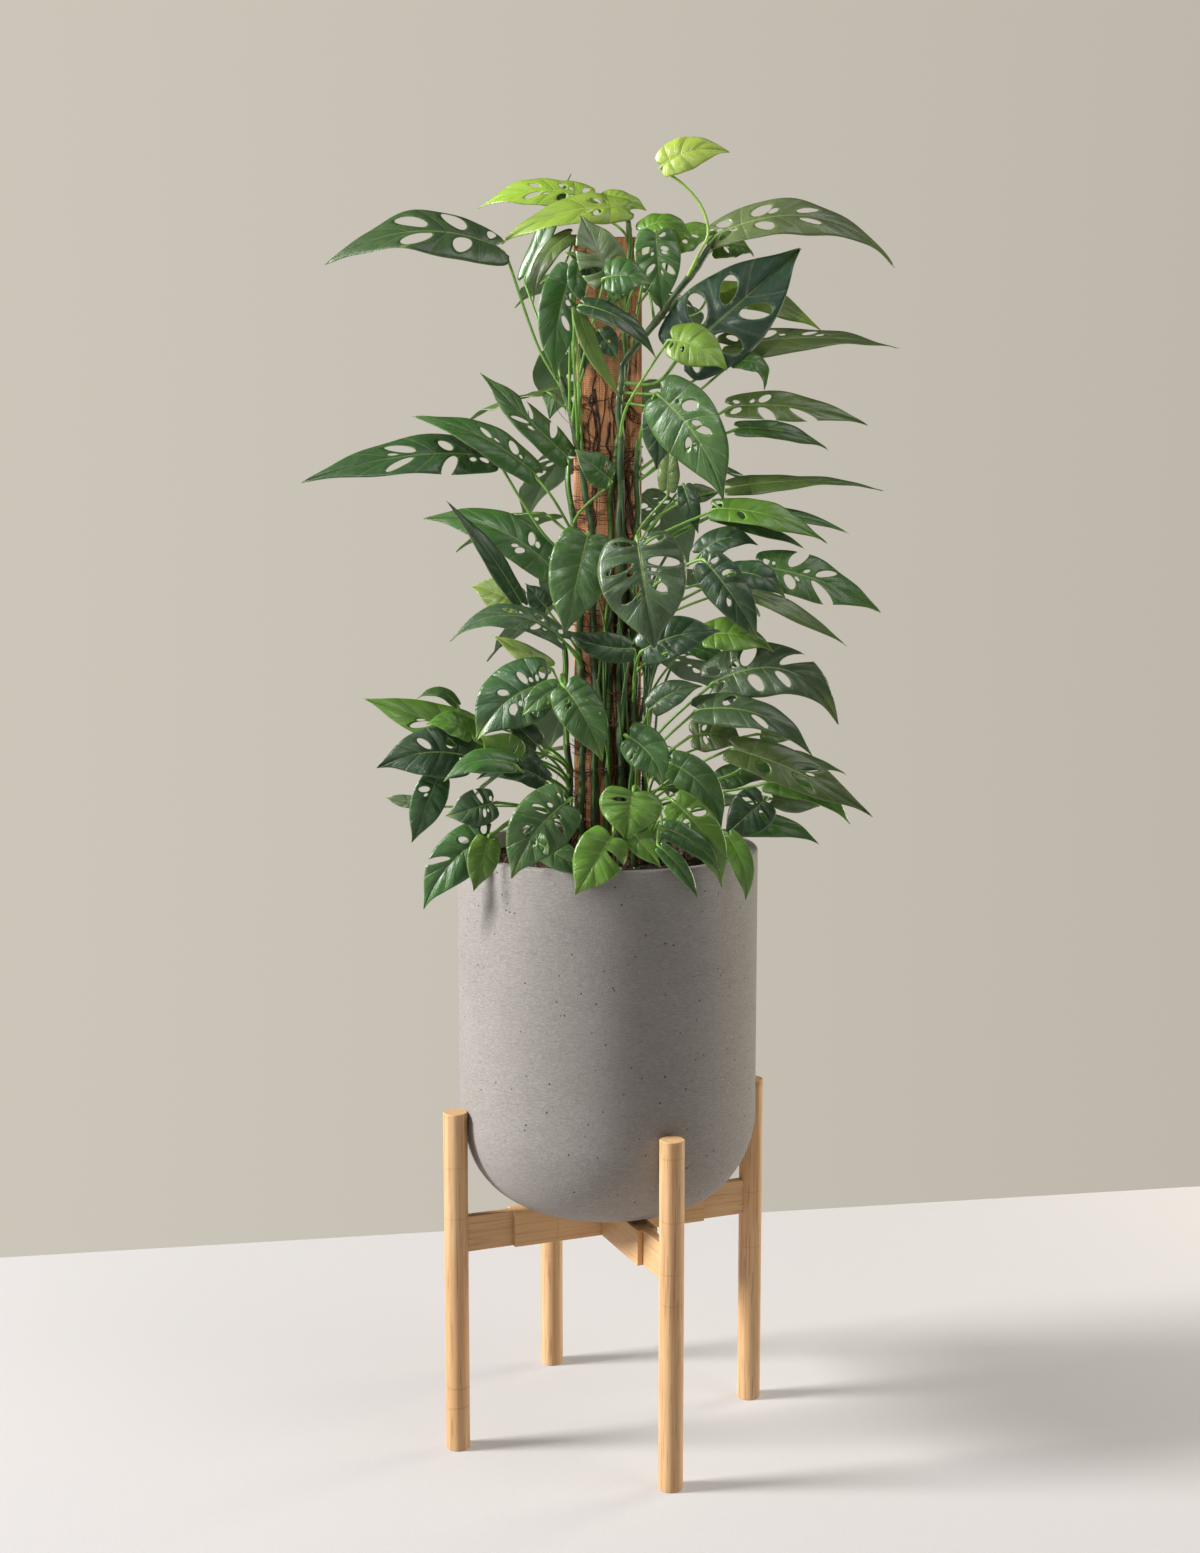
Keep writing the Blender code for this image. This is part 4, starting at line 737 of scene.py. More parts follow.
# %% [markdown]
# ## Stems and stalks
# A stem is round, and its joints, from which the stalks rise, are ringed and a little swollen. A stalk leaves the
# stem in a short sheath, runs in one bend to the leaf and thickens again just under the blade. It then goes on as
# the midrib. Geometry Nodes skin every one of these lines, because a curve's circle can follow a thickness that is
# stored on each point.

# %% The skin of a line
def new_tree(name, inputs):
    """A Geometry Nodes tree with these inputs, after its geometry input, and its two end nodes."""
    tree = bpy.data.node_groups.new(name, "GeometryNodeTree")
    tree.interface.new_socket("Geometry", in_out="INPUT", socket_type="NodeSocketGeometry")
    for label, kind in inputs:
        tree.interface.new_socket(label, in_out="INPUT", socket_type=kind)
    tree.interface.new_socket("Geometry", in_out="OUTPUT", socket_type="NodeSocketGeometry")
    return tree, tree.nodes.new("NodeGroupInput"), tree.nodes.new("NodeGroupOutput")


def put(tree, kind, settings=None, **sockets):
    """Adds a node: its settings, then a value, a socket or another node's output for each input by name."""
    node = tree.nodes.new(kind)
    for name, value in (settings or {}).items():
        setattr(node, name, value)
    for name, value in sockets.items():
        socket = next(s for s in node.inputs if s.name == name.replace("_", " ") and s.enabled)
        if isinstance(value, bpy.types.Node):
            value = next(s for s in value.outputs if s.enabled)
        if isinstance(value, bpy.types.NodeSocket):
            tree.links.new(value, socket)
        else:
            socket.default_value = value
    return node


def end_tree(tree, given, result, geometry):
    """Ends a tree: what it made becomes real geometry in the given material."""
    real = put(tree, "GeometryNodeRealizeInstances", Geometry=geometry)
    dressed = put(tree, "GeometryNodeSetMaterial", Geometry=real, Material=given.outputs["Material"])
    tree.links.new(dressed.outputs[0], result.inputs[0])
    return tree


def skin_tree():
    tree, given, result = new_tree("skin_of_a_line", (("Sides", "NodeSocketInt"), ("Material", "NodeSocketMaterial")))
    line = put(tree, "GeometryNodeMeshToCurve", Mesh=given.outputs["Geometry"])
    ring = put(tree, "GeometryNodeCurvePrimitiveCircle", Resolution=given.outputs["Sides"], Radius=1.0)
    thick = put(tree, "GeometryNodeInputNamedAttribute", {"data_type": "FLOAT"}, Name="thick")
    skin = put(tree, "GeometryNodeCurveToMesh", Curve=line, Profile_Curve=ring, Scale=thick, Fill_Caps=True)
    return end_tree(tree, given, result, put(tree, "GeometryNodeSetShadeSmooth", Geometry=skin))


def grown(name, carrier, tree, **inputs):
    """Runs a geometry tree on an object, which it uses up, and returns the result as a plain mesh object."""
    modifier = carrier.modifiers.new("grow", "NODES")
    modifier.node_group = tree
    for item in tree.interface.items_tree:
        if item.item_type == "SOCKET" and item.in_out == "INPUT" and item.name in inputs:
            modifier[item.identifier] = inputs[item.name]
    graph = bpy.context.evaluated_depsgraph_get()
    mesh = bpy.data.meshes.new_from_object(carrier.evaluated_get(graph))
    bpy.data.objects.remove(carrier, do_unlink=True)
    return placed(name, mesh)


SKIN = skin_tree()


def skinned(name, lines, finish, sides=8):
    """A tube round each line. A line is (points, radii, tones, rings), one row for each of its points."""
    edges, start = [], 0
    for line in lines:
        edges += [(i, i + 1) for i in range(start, start + len(line[0]) - 1)]
        start += len(line[0])
    points, thick, tone, ring = (np.concatenate(column) for column in zip(*lines))
    carrier = mesh_object(name + "_lines", points, (), edges, thick=thick, tone=tone, ring=ring)
    obj = grown(name, carrier, SKIN, Sides=sides, Material=finish.material)
    work = bmesh.new()
    work.from_mesh(obj.data)
    bmesh.ops.recalc_face_normals(work, faces=work.faces)
    work.to_mesh(obj.data)
    work.free()
    return obj


print("skin tree has", len(SKIN.nodes), "nodes")

# %% [markdown]
# The finish of stems and stalks: green and slightly glossy, with fine lengthwise streaks, pale at the joints and
# brown in the old ring of each joint.

# %% The stem finish
def stem_finish():
    stem = Finish("living_stem", "#4f8a3f", 0.45, Coat_Weight=0.08)
    tone, ring, place = stem.attribute("tone", "Color"), stem.attribute("ring"), stem.position()
    streak = stem.grain(stem.stretched(place, (1.0, 1.0, 0.06)), 900.0).between(0.35, 0.7)
    cloud = stem.grain(place, 45.0).between(0.35, 0.7)
    body = stem.coats(tone, (0.25 * streak, stem.mix(0.6, tone, "#1d3a1c")), (0.16 * cloud, "#8fae5a"),
                      (0.55 * ring.between(0.3, 0.9), "#6c6a40"))
    stem.paint(Base_Color=body, Roughness=0.38 + 0.2 * streak + 0.2 * ring)
    stem.relief(0.6 * streak - 0.5 * ring.between(0.55, 0.95), 0.5, 0.0004)
    return stem


living_stem = stem_finish()
print("stem finish nodes:", len(living_stem.tree.nodes))

# %% [markdown]
# Each stem is a smooth line through the CAD model's points, swollen where a leaf leaves it and darker towards
# the soil. Each stalk follows the same curve as in the CAD model: a Bezier curve, or a curve through the
# points that the row names.

# %% The lines of a vine
STEM_STEPS, VIA_STEPS, BEND_STEPS = 40, 22, 18
JOINT_SWELL, JOINT_RING = 4 * MM, 1.8 * MM
# A stem starts to wave at the first height, fully so after the next length. Below the third height it darkens.
WAVE_FROM, WAVE_OVER, DARKEN_FROM, DARKEN_OVER = 600 * MM, 80 * MM, 1060 * MM, 260 * MM
LOW_STEM, YOUNG_STALK, PALE_RIB = (np.array(colour(code)) for code in ("#242c1c", "#80b348", "#9db45a"))


def through(points, count):
    """A smooth line of this many points through the given ones."""
    row = np.array(points)
    if len(row) == 2:
        return row[0] + (row[1] - row[0]) * np.linspace(0, 1, count)[:, None]
    return smooth_row(row, np.linspace(0, (len(row) - 1) / 2, count))


def height_on(points, height):
    """The point of a stem at this height (mm)."""
    for low, high in zip(points, points[1:]):
        if height <= high[1] or high is points[-1]:
            share = min((height - low[1]) / (high[1] - low[1]), 1.0)
            return seen(*(a + (b - a) * share for a, b in zip(low, high)))


def one_tone(tone, count):
    """The same colour for each of so many points."""
    return np.tile((*tone, 1.0), (count, 1))


def stem_line(name):
    """The line of one stem, a little wavy where it is clear of the soil, and swollen at each joint."""
    points, radius, tone = VINES[name]
    line = [seen(*point) for point in points]
    steps = np.linspace(0, 1, STEM_STEPS, endpoint=False)[:, None]
    path = np.concatenate([a + (b - a) * steps for a, b in zip(line, line[1:])] + [line[-1][None]])
    height, front = path[:, 2], np.sign(path[:, 1] + 1e-9)
    draw = random.Random(name)
    phase = [draw.uniform(0, FULL_TURN) for _ in range(3)]
    clear = np.clip((height - WAVE_FROM) / WAVE_OVER, 0, 1) * MM
    path[:, 0] += clear * (1.3 * np.sin(height * 38 + phase[0]) + 0.7 * np.sin(height * 111 + phase[1]))
    path[:, 1] += clear * (1.0 - np.sin(height * 59 + phase[2])) * front
    joints = MM * np.array([leaf.start for leaf in LEAVES + BACK_LEAVES if leaf.vine == name])
    apart = np.abs(height[:, None] - joints).min(axis=1)
    thick = radius * MM * (0.93 + 0.16 * np.exp(-(apart / JOINT_SWELL) ** 2)) * np.linspace(1, 0.8, len(path))
    thick[-6:] *= np.linspace(1.0, 0.75, 6)
    # The stem's colour turns darker towards the soil, over its lowest stretch.
    low_share = 0.6 * np.clip((DARKEN_FROM - height) / DARKEN_OVER, 0, 1)[:, None]
    green = np.array(TONES[tone]) * 0.65 * (1 - low_share) + LOW_STEM * low_share
    return path, thick, np.column_stack([green, np.ones(len(path))]), np.exp(-(apart / JOINT_RING) ** 2)


def stalk_line(leaf, looks_up, midrib):
    """The stalk from inside the stem to the blade, and on along its midrib."""
    start, end = height_on(VINES[leaf.vine][0], leaf.start), seen(*leaf.base)
    near, up = blade_surface(leaf, looks_up, np.array((0.0, 0.1)), np.zeros(2))
    ahead, front = unit(near[1] - near[0]), up[0]
    fold = max(ahead.dot(unit(start - end)), 0)
    knuckle = end - (ahead + front * (0.4 + 1.1 * fold)) * KNUCKLE
    if leaf.via:
        path = through([start] + [seen(*spot) for spot in leaf.via] + [knuckle], VIA_STEPS)
    else:
        reach = np.linalg.norm(knuckle - start)
        push = min(0.30 * reach, abs(end[1] - start[1]) * 0.6 * fold + 0.30 * reach * (1 - fold))
        first = start + np.array((0, -push if end[1] < start[1] else push, 0.25 * reach))
        last = knuckle - (ahead * 0.10 + front * (0.12 + 0.35 * fold)) * reach
        t = np.linspace(0, 1, BEND_STEPS)[:, None]
        path = (1 - t)**3 * start + 3 * t * (1 - t)**2 * first + 3 * t**2 * (1 - t) * last + t**3 * knuckle
    radius = (1.15 + 0.008 * leaf.wide) * MM
    count, ribs = len(path), len(midrib)
    t = np.linspace(0, 1, count)
    thick = radius * (1 + 0.45 * np.exp(-t / 0.10) + 0.30 * np.exp(-((t - 1) / 0.07) ** 2))
    rib = np.linspace(0.85, 0.22, ribs) * np.array([1.0] + [0.8] * (ribs - 1)) * radius
    tone = np.array(TONES[leaf.tone])
    green, pale = tone * 0.35 + YOUNG_STALK * 0.65, tone * 0.5 + PALE_RIB * 0.5
    return (np.vstack([path, midrib]), np.concatenate([thick, rib]),
            np.vstack([one_tone(green, count), one_tone(pale, ribs)]), np.zeros(count + ribs))


print("stem points", {name: len(stem_line(name)[0]) for name in VINES})

# %% [markdown]
# ## The vines
# Every vine becomes two pieces: its blades, and its stem with the stalks. Both stand for the one CAD node, in which
# they are fused.

# %% Make the vines
LEAF_SLOTS = {"vine_lime": "leaf_lime", "vine_top_left": "leaf_blue_green", "vine_top_right": "leaf_blue_green"}


def make_vine(name):
    blades, lines = [], [stem_line(name)]
    for rows, looks_up, seed in ((LEAVES, False, FRONT_SEED), (BACK_LEAVES, True, BACK_SEED)):
        for number, leaf in enumerate(rows):
            if leaf.vine == name:
                made, midrib = blade(leaf, looks_up, seed + number)
                blades.append(made)
                lines.append(stalk_line(leaf, looks_up, midrib))
    points, faces, values = joined(blades)
    slot = LEAF_SLOTS.get(name, "leaf_mid_green")
    leaves = mesh_object(name.replace("vine", "leaves"), points, faces, **values)
    dress(leaves, living_leaf, ROOT, slot, name)
    stems = skinned(name.replace("vine", "stems"), lines, living_stem)
    dress(stems, None, ROOT, slot, name)
    return len(leaves.data.polygons), len(stems.data.polygons)


for name in VINES:
    print(name, "faces of blades and stems", make_vine(name))

# %% [markdown]
# ## The pot
# The pot is one turned form, straight at the wall and round below, of a matt stony composite. A scaled cylinder
# would have no round foot and no soft lip, so one profile is drawn and spun in many fine steps. The finish is a
# warm taupe with fine level streaks from the mould, a sandy grain, a few pale flakes and a scatter of tiny pits.

# %% Turn the pot
POT_RADIUS, POT_BASE, POT_HEIGHT = 158.3 * MM, 254.7 * MM, 384.3 * MM
POT_FOOT, POT_CURVE, POT_WALL, RIM_ROUNDING = 68.0 * MM, 102.0 * MM, 12.0 * MM, 3.0 * MM
POT_TOP = POT_BASE + POT_HEIGHT
CURVE_STEPS, WALL_STEPS, POT_SIDES = 28, 24, 160


def pot_curve(inset):
    """The round of the pot from its foot to its wall, this far inside its outer face."""
    reach, rise = POT_RADIUS - POT_FOOT - inset, POT_CURVE - inset
    angles = np.linspace(0, math.pi / 2, CURVE_STEPS + 1)
    return [(POT_FOOT + reach * math.sin(a), POT_BASE + POT_CURVE - rise * math.cos(a)) for a in angles]


def turned(name, profile, steps):
    """A solid of revolution with outward faces, from a profile that starts and ends on the axis."""
    work = bmesh.new()
    verts = [work.verts.new((radius, 0, height)) for radius, height in profile]
    edges = [work.edges.new(pair) for pair in zip(verts, verts[1:])]
    bmesh.ops.spin(work, geom=verts + edges, cent=(0, 0, 0), axis=(0, 0, 1), angle=2 * math.pi, steps=steps,
                   use_merge=True)
    bmesh.ops.remove_doubles(work, verts=work.verts, dist=0.01 * MM)
    obj = solid_object(name, work)
    smooth(obj.data)
    return obj


def pot_profile():
    """The foot, the outside, the lip and the inside of the pot, as (radius, height)."""
    inner, bends = POT_RADIUS - POT_WALL, np.radians(np.arange(0, 91, 15))
    foot = [(0, POT_BASE + 2 * MM), (POT_FOOT - 14 * MM, POT_BASE + 2 * MM), (POT_FOOT - 11 * MM, POT_BASE)]
    rises = np.linspace(0.01, POT_HEIGHT - POT_CURVE - 0.02, WALL_STEPS)
    wall = [(POT_RADIUS, POT_BASE + POT_CURVE + rise) for rise in rises]
    drops = [(RIM_ROUNDING * (1 - math.cos(a)), RIM_ROUNDING * (1 - math.sin(a))) for a in bends]
    lip = [(POT_RADIUS - near, POT_TOP - far) for near, far in drops]
    back = [(inner + far, POT_TOP - near) for near, far in drops]
    return foot + pot_curve(0) + wall + lip + back + pot_curve(POT_WALL)[::-1] + [(0, POT_BASE + POT_WALL)]


def pot_finish():
    clay = Finish("matt_taupe_composite", "#9a948e", 0.82, Specular_IOR_Level=0.35)
    place = clay.position()
    level = clay.stretched(place, (1.0, 1.0, 6.0))
    streak = clay.grain(level, 165.0, 4.0, 0.75).between(0.34, 0.66)
    broad = clay.grain(level, 30.0).between(0.30, 0.70)
    cloud = clay.grain(place, 9.0, 3.0, 0.55).between(0.30, 0.70)
    sand = clay.grain(place, 620.0, 3.0, 0.8).between(0.34, 0.66)
    rare = clay.grain(place, 70.0, 1.0).between(0.49, 0.57)
    pits = clay.cells(place, 115.0).within(0.07, 0.15) * rare
    flakes = clay.cells(place, 210.0).within(0.05, 0.13) * (1 - rare)
    body = clay.coats("#89847f", (0.6 * cloud + 0.4 * broad, "#95908b"), (0.50 * streak, "#b4afab"),
                      (0.26 * sand, "#6c6763"), (0.30 * flakes, "#c3beb9"), (0.85 * pits, "#2b2826"))
    clay.paint(Base_Color=body, Roughness=0.74 + 0.12 * sand + 0.06 * streak)
    clay.relief(0.35 * sand + 0.4 * streak - 1.6 * pits, 0.7, 0.0007)
    return clay


matt_taupe = pot_finish()
pot = dress(turned("pot_turned", pot_profile(), POT_SIDES), matt_taupe, ROOT, "pot", "pot")
print("pot faces", len(pot.data.polygons))

# %% [markdown]
# ## The soil
# Damp bark mix fills the pot to a little below the rim. The CAD block stays as its body, under a lumpy skin.
# Geometry Nodes scatter crumbs of bark and a few white grains over that skin. Placing thousands of crumbs by hand
# would be slow, and a bump alone would leave the outline of the soil flat.

# %% Lay the soil and scatter its crumbs
SOIL_TOP = POT_TOP - 22 * MM
SKIN_RINGS, SKIN_SIDES = 34, 96
SWELLS, LUMPS = 2.5 * MM, 1.5 * MM


def soil_finish(name, dark, light):
    mix = Finish(name, dark, 0.92)
    place = mix.position()
    lumps = mix.grain(place, 210.0, 4.0, 0.6).between(0.30, 0.72)
    fibre = mix.grain(mix.stretched(place, (1.0, 0.2, 1.0)), 700.0).between(0.40, 0.70)
    mix.paint(Base_Color=mix.coats(dark, (lumps, light), (0.35 * fibre, "#5d4634")), Roughness=0.80 + 0.15 * lumps)
    mix.relief(lumps + 0.4 * fibre, 0.9, 0.0015)
    return mix


damp_soil = soil_finish("damp_soil", "#1c1511", "#3a2c21")
bark_crumb = soil_finish("bark_crumb", "#2b1d14", "#6a4a33")
white_grain = soil_finish("white_grain", "#b8b2a6", "#ddd8cd")


def soil_skin():
    """A lumpy disc over the CAD soil, closed by a low skirt and a flat under side."""
    radius, around = POT_RADIUS - POT_WALL - 0.6 * MM, SKIN_SIDES
    reaches = [radius * i / SKIN_RINGS for i in range(1, SKIN_RINGS + 1)]
    turns = [2 * math.pi * k / around for k in range(around)]
    spots = [(0.0, 0.0)] + [(out * math.cos(a), out * math.sin(a)) for out in reaches for a in turns]
    points = [(x, y, SOIL_TOP + 0.8 * MM + SWELLS * (1 + noise.noise(Vector((x, y, 0)) * 60))
               + LUMPS * noise.noise(Vector((x, y, 0.5)) * 240)) for x, y in spots]
    foot, last = len(points), len(points) - around
    points += [(x, y, SOIL_TOP - 1 * MM) for x, y, _ in points[last:]]
    faces = [(0, 1 + k, 1 + (k + 1) % around) for k in range(around)]
    for a in range(1, foot, around):
        faces += [(a + k, a + around + k, a + around + (k + 1) % around, a + (k + 1) % around) for k in range(around)]
    faces.append(tuple(range(foot + around - 1, foot - 1, -1)))
    return mesh_object("soil_skin", points, faces)


def scatter_tree():
    tree, given, result = new_tree("scatter_crumbs", (
        ("Crumb", "NodeSocketObject"), ("Density", "NodeSocketFloat"), ("Smallest", "NodeSocketFloat"),
        ("Largest", "NodeSocketFloat"), ("Seed", "NodeSocketInt"), ("Material", "NodeSocketMaterial")))
    split = put(tree, "ShaderNodeSeparateXYZ", Vector=put(tree, "GeometryNodeInputNormal"))
    level = put(tree, "FunctionNodeCompare", {"data_type": "FLOAT", "operation": "GREATER_THAN"},
                A=split.outputs[2], B=0.5)
    spots = put(tree, "GeometryNodeDistributePointsOnFaces", Mesh=given.outputs["Geometry"], Selection=level,
                Density=given.outputs["Density"], Seed=given.outputs["Seed"])
    turn = put(tree, "FunctionNodeRandomValue", {"data_type": "FLOAT_VECTOR"}, Max=(FULL_TURN,) * 3, Seed=7)
    size = put(tree, "FunctionNodeRandomValue", {"data_type": "FLOAT"}, Min=given.outputs["Smallest"],
               Max=given.outputs["Largest"], Seed=11)
    shape = put(tree, "GeometryNodeObjectInfo", Object=given.outputs["Crumb"])
    crumbs = put(tree, "GeometryNodeInstanceOnPoints", Points=spots, Instance=shape.outputs["Geometry"],
                 Rotation=turn, Scale=size)
    return end_tree(tree, given, result, crumbs)


def crumb_shape(name, squash):
    """A small lump with a unit radius, flattened to a chip."""
    work = bmesh.new()
    bmesh.ops.create_icosphere(work, subdivisions=1, radius=1.0)
    for vert in work.verts:
        vert.co *= 1 + 0.35 * noise.noise(vert.co * 1.7)
        vert.co.z *= squash
    return solid_object(name, work)


SCATTER = scatter_tree()
dress(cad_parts["soil"], damp_soil, ROOT, "soil")
skin = soil_skin()
dress(skin, damp_soil, ROOT, "soil")
for label, crumb_finish, squash, density, small, large, seed in (
        ("bark_crumbs", bark_crumb, 0.45, 21000.0, 1.2 * MM, 4.2 * MM, 3),
        ("white_grains", white_grain, 0.9, 1500.0, 0.8 * MM, 1.8 * MM, 5)):
    chip = crumb_shape(label + "_shape", squash)
    crumbs = grown(label, placed(label + "_ground", skin.data.copy()), SCATTER, Crumb=chip, Density=density,
                   Smallest=small, Largest=large, Seed=seed, Material=crumb_finish.material)
    bpy.data.objects.remove(chip, do_unlink=True)
    dress(crumbs, None, ROOT, "soil")
    print(label, "faces", len(crumbs.data.polygons))

# %% [markdown]
# ## The board
# One rough-sawn cedar board stands in the soil. Its faces keep the marks of the saw, its edges are chipped, it has
# split a little along the grain, and the roots have stained it. A loop round its section is swept upwards, and
# noise pushes the points inwards, never outwards, so that the board keeps its size.

# %% Saw the board
BOARD_WIDTH, BOARD_THICK, BOARD_TOP, BOARD_FOOT = 70 * MM, 22 * MM, 1265 * MM, 430 * MM
BOARD_RINGS, SECTION_STEP, CORNER = 300, 2.6 * MM, 1.2 * MM
GRAIN_DEPTH, SAW_DEPTH, CHIP_DEPTH = 0.30 * MM, 0.10 * MM, 1.4 * MM


def board_section():
    """The points round the board's section and the outward direction at each, with the corners a little round."""
    wide, deep = BOARD_WIDTH / 2 - CORNER, BOARD_THICK / 2 - CORNER
    row = []
    for cx, cy, turn in ((1, -1, -90), (1, 1, 0), (-1, 1, 90), (-1, -1, 180)):
        for a in np.radians((turn, turn + 45, turn + 90)):
            row.append((cx * wide + CORNER * math.cos(a), cy * deep + CORNER * math.sin(a), a))
    full = []
    for (x, y, a), (x2, y2, _) in zip(row, row[1:] + row[:1]):
        count = max(1, round(math.hypot(x2 - x, y2 - y) / SECTION_STEP))
        full += [(x + (x2 - x) * t / count, y + (y2 - y) * t / count, a) for t in range(count)]
    return full


def sawn_board():
    section = board_section()
    n, points, faces = len(section), [], []
    for z in np.linspace(BOARD_FOOT, BOARD_TOP, BOARD_RINGS + 1):
        for x, y, a in section:
            saw = 0.5 + 0.5 * math.sin(z / MM * 2.1 + x / MM * 0.12 + 3 * noise.noise(Vector((x, y, z)) * 30))
            grain = 0.5 + 0.5 * noise.noise(Vector((x * 260, y * 260, z * 9)))
            chip = abs(math.sin(2 * a)) * max(0.0, noise.noise(Vector((x, y, z * 55)) + Vector((9, 0, 0))))
            depth = GRAIN_DEPTH * grain + SAW_DEPTH * saw + CHIP_DEPTH * chip
            points.append((x - math.cos(a) * depth, y - math.sin(a) * depth, z))
    for start in range(0, BOARD_RINGS * n, n):
        for k in range(n):
            m = (k + 1) % n
            faces.append((start + k, start + m, start + n + m, start + n + k))
    faces.append(tuple(range(n - 1, -1, -1)))
    top = BOARD_RINGS * n
    faces += [(top + k, top + (k + 1) % n, len(points)) for k in range(n)]
    points.append((0, 0, BOARD_TOP - 0.4 * MM))
    return mesh_object("sawn_board", points, faces)


def cedar_finish():
    cedar = Finish("rough_cedar", "#a8683f", 0.85)
    place = cedar.position()
    x, _, z = cedar.parts(place)

    def lengthwise(share):
        return cedar.stretched(place, (1.0, 1.0, share))

    rings = cedar.grain(lengthwise(0.045), 190.0, 4.0, 0.6, 0.6).between(0.28, 0.72)
    fibre = cedar.grain(lengthwise(0.03), 1100.0, 2.0, 0.6).between(0.30, 0.70)
    saw = (z * 2800.0 + x * 190.0 + 5.0 * cedar.grain(place, 25.0)).sin().between(-1.0, 1.0)
    stain = cedar.grain(lengthwise(0.35), 34.0, 3.0, 0.6).between(0.48, 0.66)
    split = cedar.grain(lengthwise(0.02), 130.0, 1.0)
    crack = split.between(0.485, 0.50) * split.within(0.50, 0.515)
    body = cedar.coats("#cd7f50", (rings, "#eaa874"), (0.35 * fibre, "#f2c194"), (0.30 * saw, "#9a6446"),
                       (0.42 * stain, "#85573d"), (0.8 * crack, "#2a1811"))
    cedar.paint(Base_Color=body, Roughness=0.78 + 0.15 * fibre)
    cedar.relief(0.5 * fibre + 0.5 * saw + 0.5 * rings - 1.2 * crack, 0.8, 0.0009)
    return cedar


rough_cedar = cedar_finish()
board = dress(sawn_board(), rough_cedar, ROOT, "cedar", "board")
print("board faces", len(board.data.polygons))

# %% [markdown]
# ## Aerial roots
# The vines hold on by brown roots that leave the joints, feel their way across the board and wrap it. A few hang
# free in thin loops. Most are random walks with a fixed seed, made smooth, and all are skinned by the same tree as
# the stems. So are the thin stalks that climb between the stems.

# %% Grow the roots
# Roots cling where a joint lies this near the board's middle and this far under its top.
CLING_SIDE, CLING_DROP, BOARD_EDGE = 46 * MM, 10 * MM, 34.5
# Bundles: their middle and spread, the height of their tops and their feet (mm), and how many roots.
BUNDLES = ((-14, 5, 1150, 960, 5), (14, 9, 1120, 930, 6), (8, 9, 930, 600, 13), (26, 5, 1040, 860, 4))
# Bands that wrap the board: their height, half of their width (mm) and how many roots.
BANDS = ((1030, 26, 9), (985, 20, 4), (800, 16, 5), (768, 22, 7), (735, 14, 5), (880, 40, 4))
FREE_LOOPS = (((-82, 1092, 14), (-79, 1078, 16), (-67, 1061, 18), (-50, 1048, 18), (-36, 1040, 16)),
              ((-58, 1120, 10), (-52, 1108, 14), (-53, 1096, 15), (-46, 1085, 15), (-38, 1078, 13)),
              ((-58, 1112, 10), (-48, 1104, 13), (-40, 1094, 13)))
STALK_GREENS = ("deep", "mid", "slate", "bright", "mid", "olive", "deep")


def root_finish():
    root = Finish("brown_root", "#4a3223", 0.8)
    place = root.position()
    shade = root.grain(place, 160.0).between(0.3, 0.7)
    root.paint(Base_Color=root.mix(shade, "#2a1a12", "#60432e"), Roughness=0.7 + 0.2 * shade)
    root.relief(root.grain(place, 1500.0), 0.6, 0.0004)
    return root


def walk(draw, start, heading, steps, stride, wander, pull):
    """A line that keeps roughly to its heading and gives way to a pull."""
    spot, way = np.array(start, float), np.array(heading, float)
    line = [spot]
    for _ in range(steps):
        way = unit(way + wander * np.array([draw.gauss(0, 1) for _ in range(3)]) + np.array(pull))
        spot = spot + way * stride
        line.append(spot)
    return np.array(line)


def root_line(points, thick):
    """The points, smoothed, with a taper."""
    points, count = np.array(points), len(points)
    for _ in range(4):
        points[1:-1] = 0.5 * points[1:-1] + 0.25 * (points[:-2] + points[2:])
    return points, thick * np.linspace(1.0, 0.45, count), one_tone((0.1, 0.06, 0.04), count), np.zeros(count)


def clinging_roots(draw):
    """Short roots from every joint that lie on the board's face and turn downwards."""
    lines = []
    for name, (points, _, _) in VINES.items():
        front = -1 if points[0][2] > 0 else 1
        face = front * (BOARD_THICK / 2 + 0.3 * MM)
        for start in [height_on(points, leaf.start) for leaf in LEAVES + BACK_LEAVES if leaf.vine == name]:
            if abs(start[0]) > CLING_SIDE or start[2] > BOARD_TOP - CLING_DROP:
                continue
            for _ in range(draw.randint(1, 3)):
                way = draw.choice((-1, 1)) if abs(start[0]) < 22 * MM else -np.sign(start[0])
                line = walk(draw, start + np.array((0, -front * 2 * MM, draw.uniform(-4, 4) * MM)),
                            (way, -front * 0.4, -0.5), draw.randint(9, 22), 2.6 * MM, 0.30, (0, 0, -0.10))
                over = np.abs(line[:, 0]) < BOARD_WIDTH / 2
                settle = np.minimum(np.arange(len(line)) / 4, 1)
                line[:, 1] = np.where(over, line[:, 1] + (face - line[:, 1]) * settle, line[:, 1])
                lines.append(root_line(line, draw.uniform(0.35, 0.75) * MM))
    return lines


def root_bundle(draw):
    """Dark roots that wander down the board beside the stems, some of them together in a bundle."""
    lines = []
    for middle, spread, high, low, count in BUNDLES:
        for _ in range(count):
            side = middle + draw.gauss(0, spread)
            top, foot = draw.uniform(high - 60, high), draw.uniform(low, low + 70)
            phase, drift, line = draw.uniform(0, FULL_TURN), 0.0, []
            for t in np.linspace(0, 1, 44):
                drift = 0.93 * drift + draw.gauss(0, 1.5)
                x = max(-BOARD_EDGE, min(BOARD_EDGE, side + drift))
                y = -(12.2 + 3.0 * math.sin(phase + 11 * t) ** 2)
                line.append((x * MM, y * MM, (top + (foot - top) * t) * MM))
            lines.append(root_line(line, draw.uniform(0.55, 1.5) * MM))
    return lines


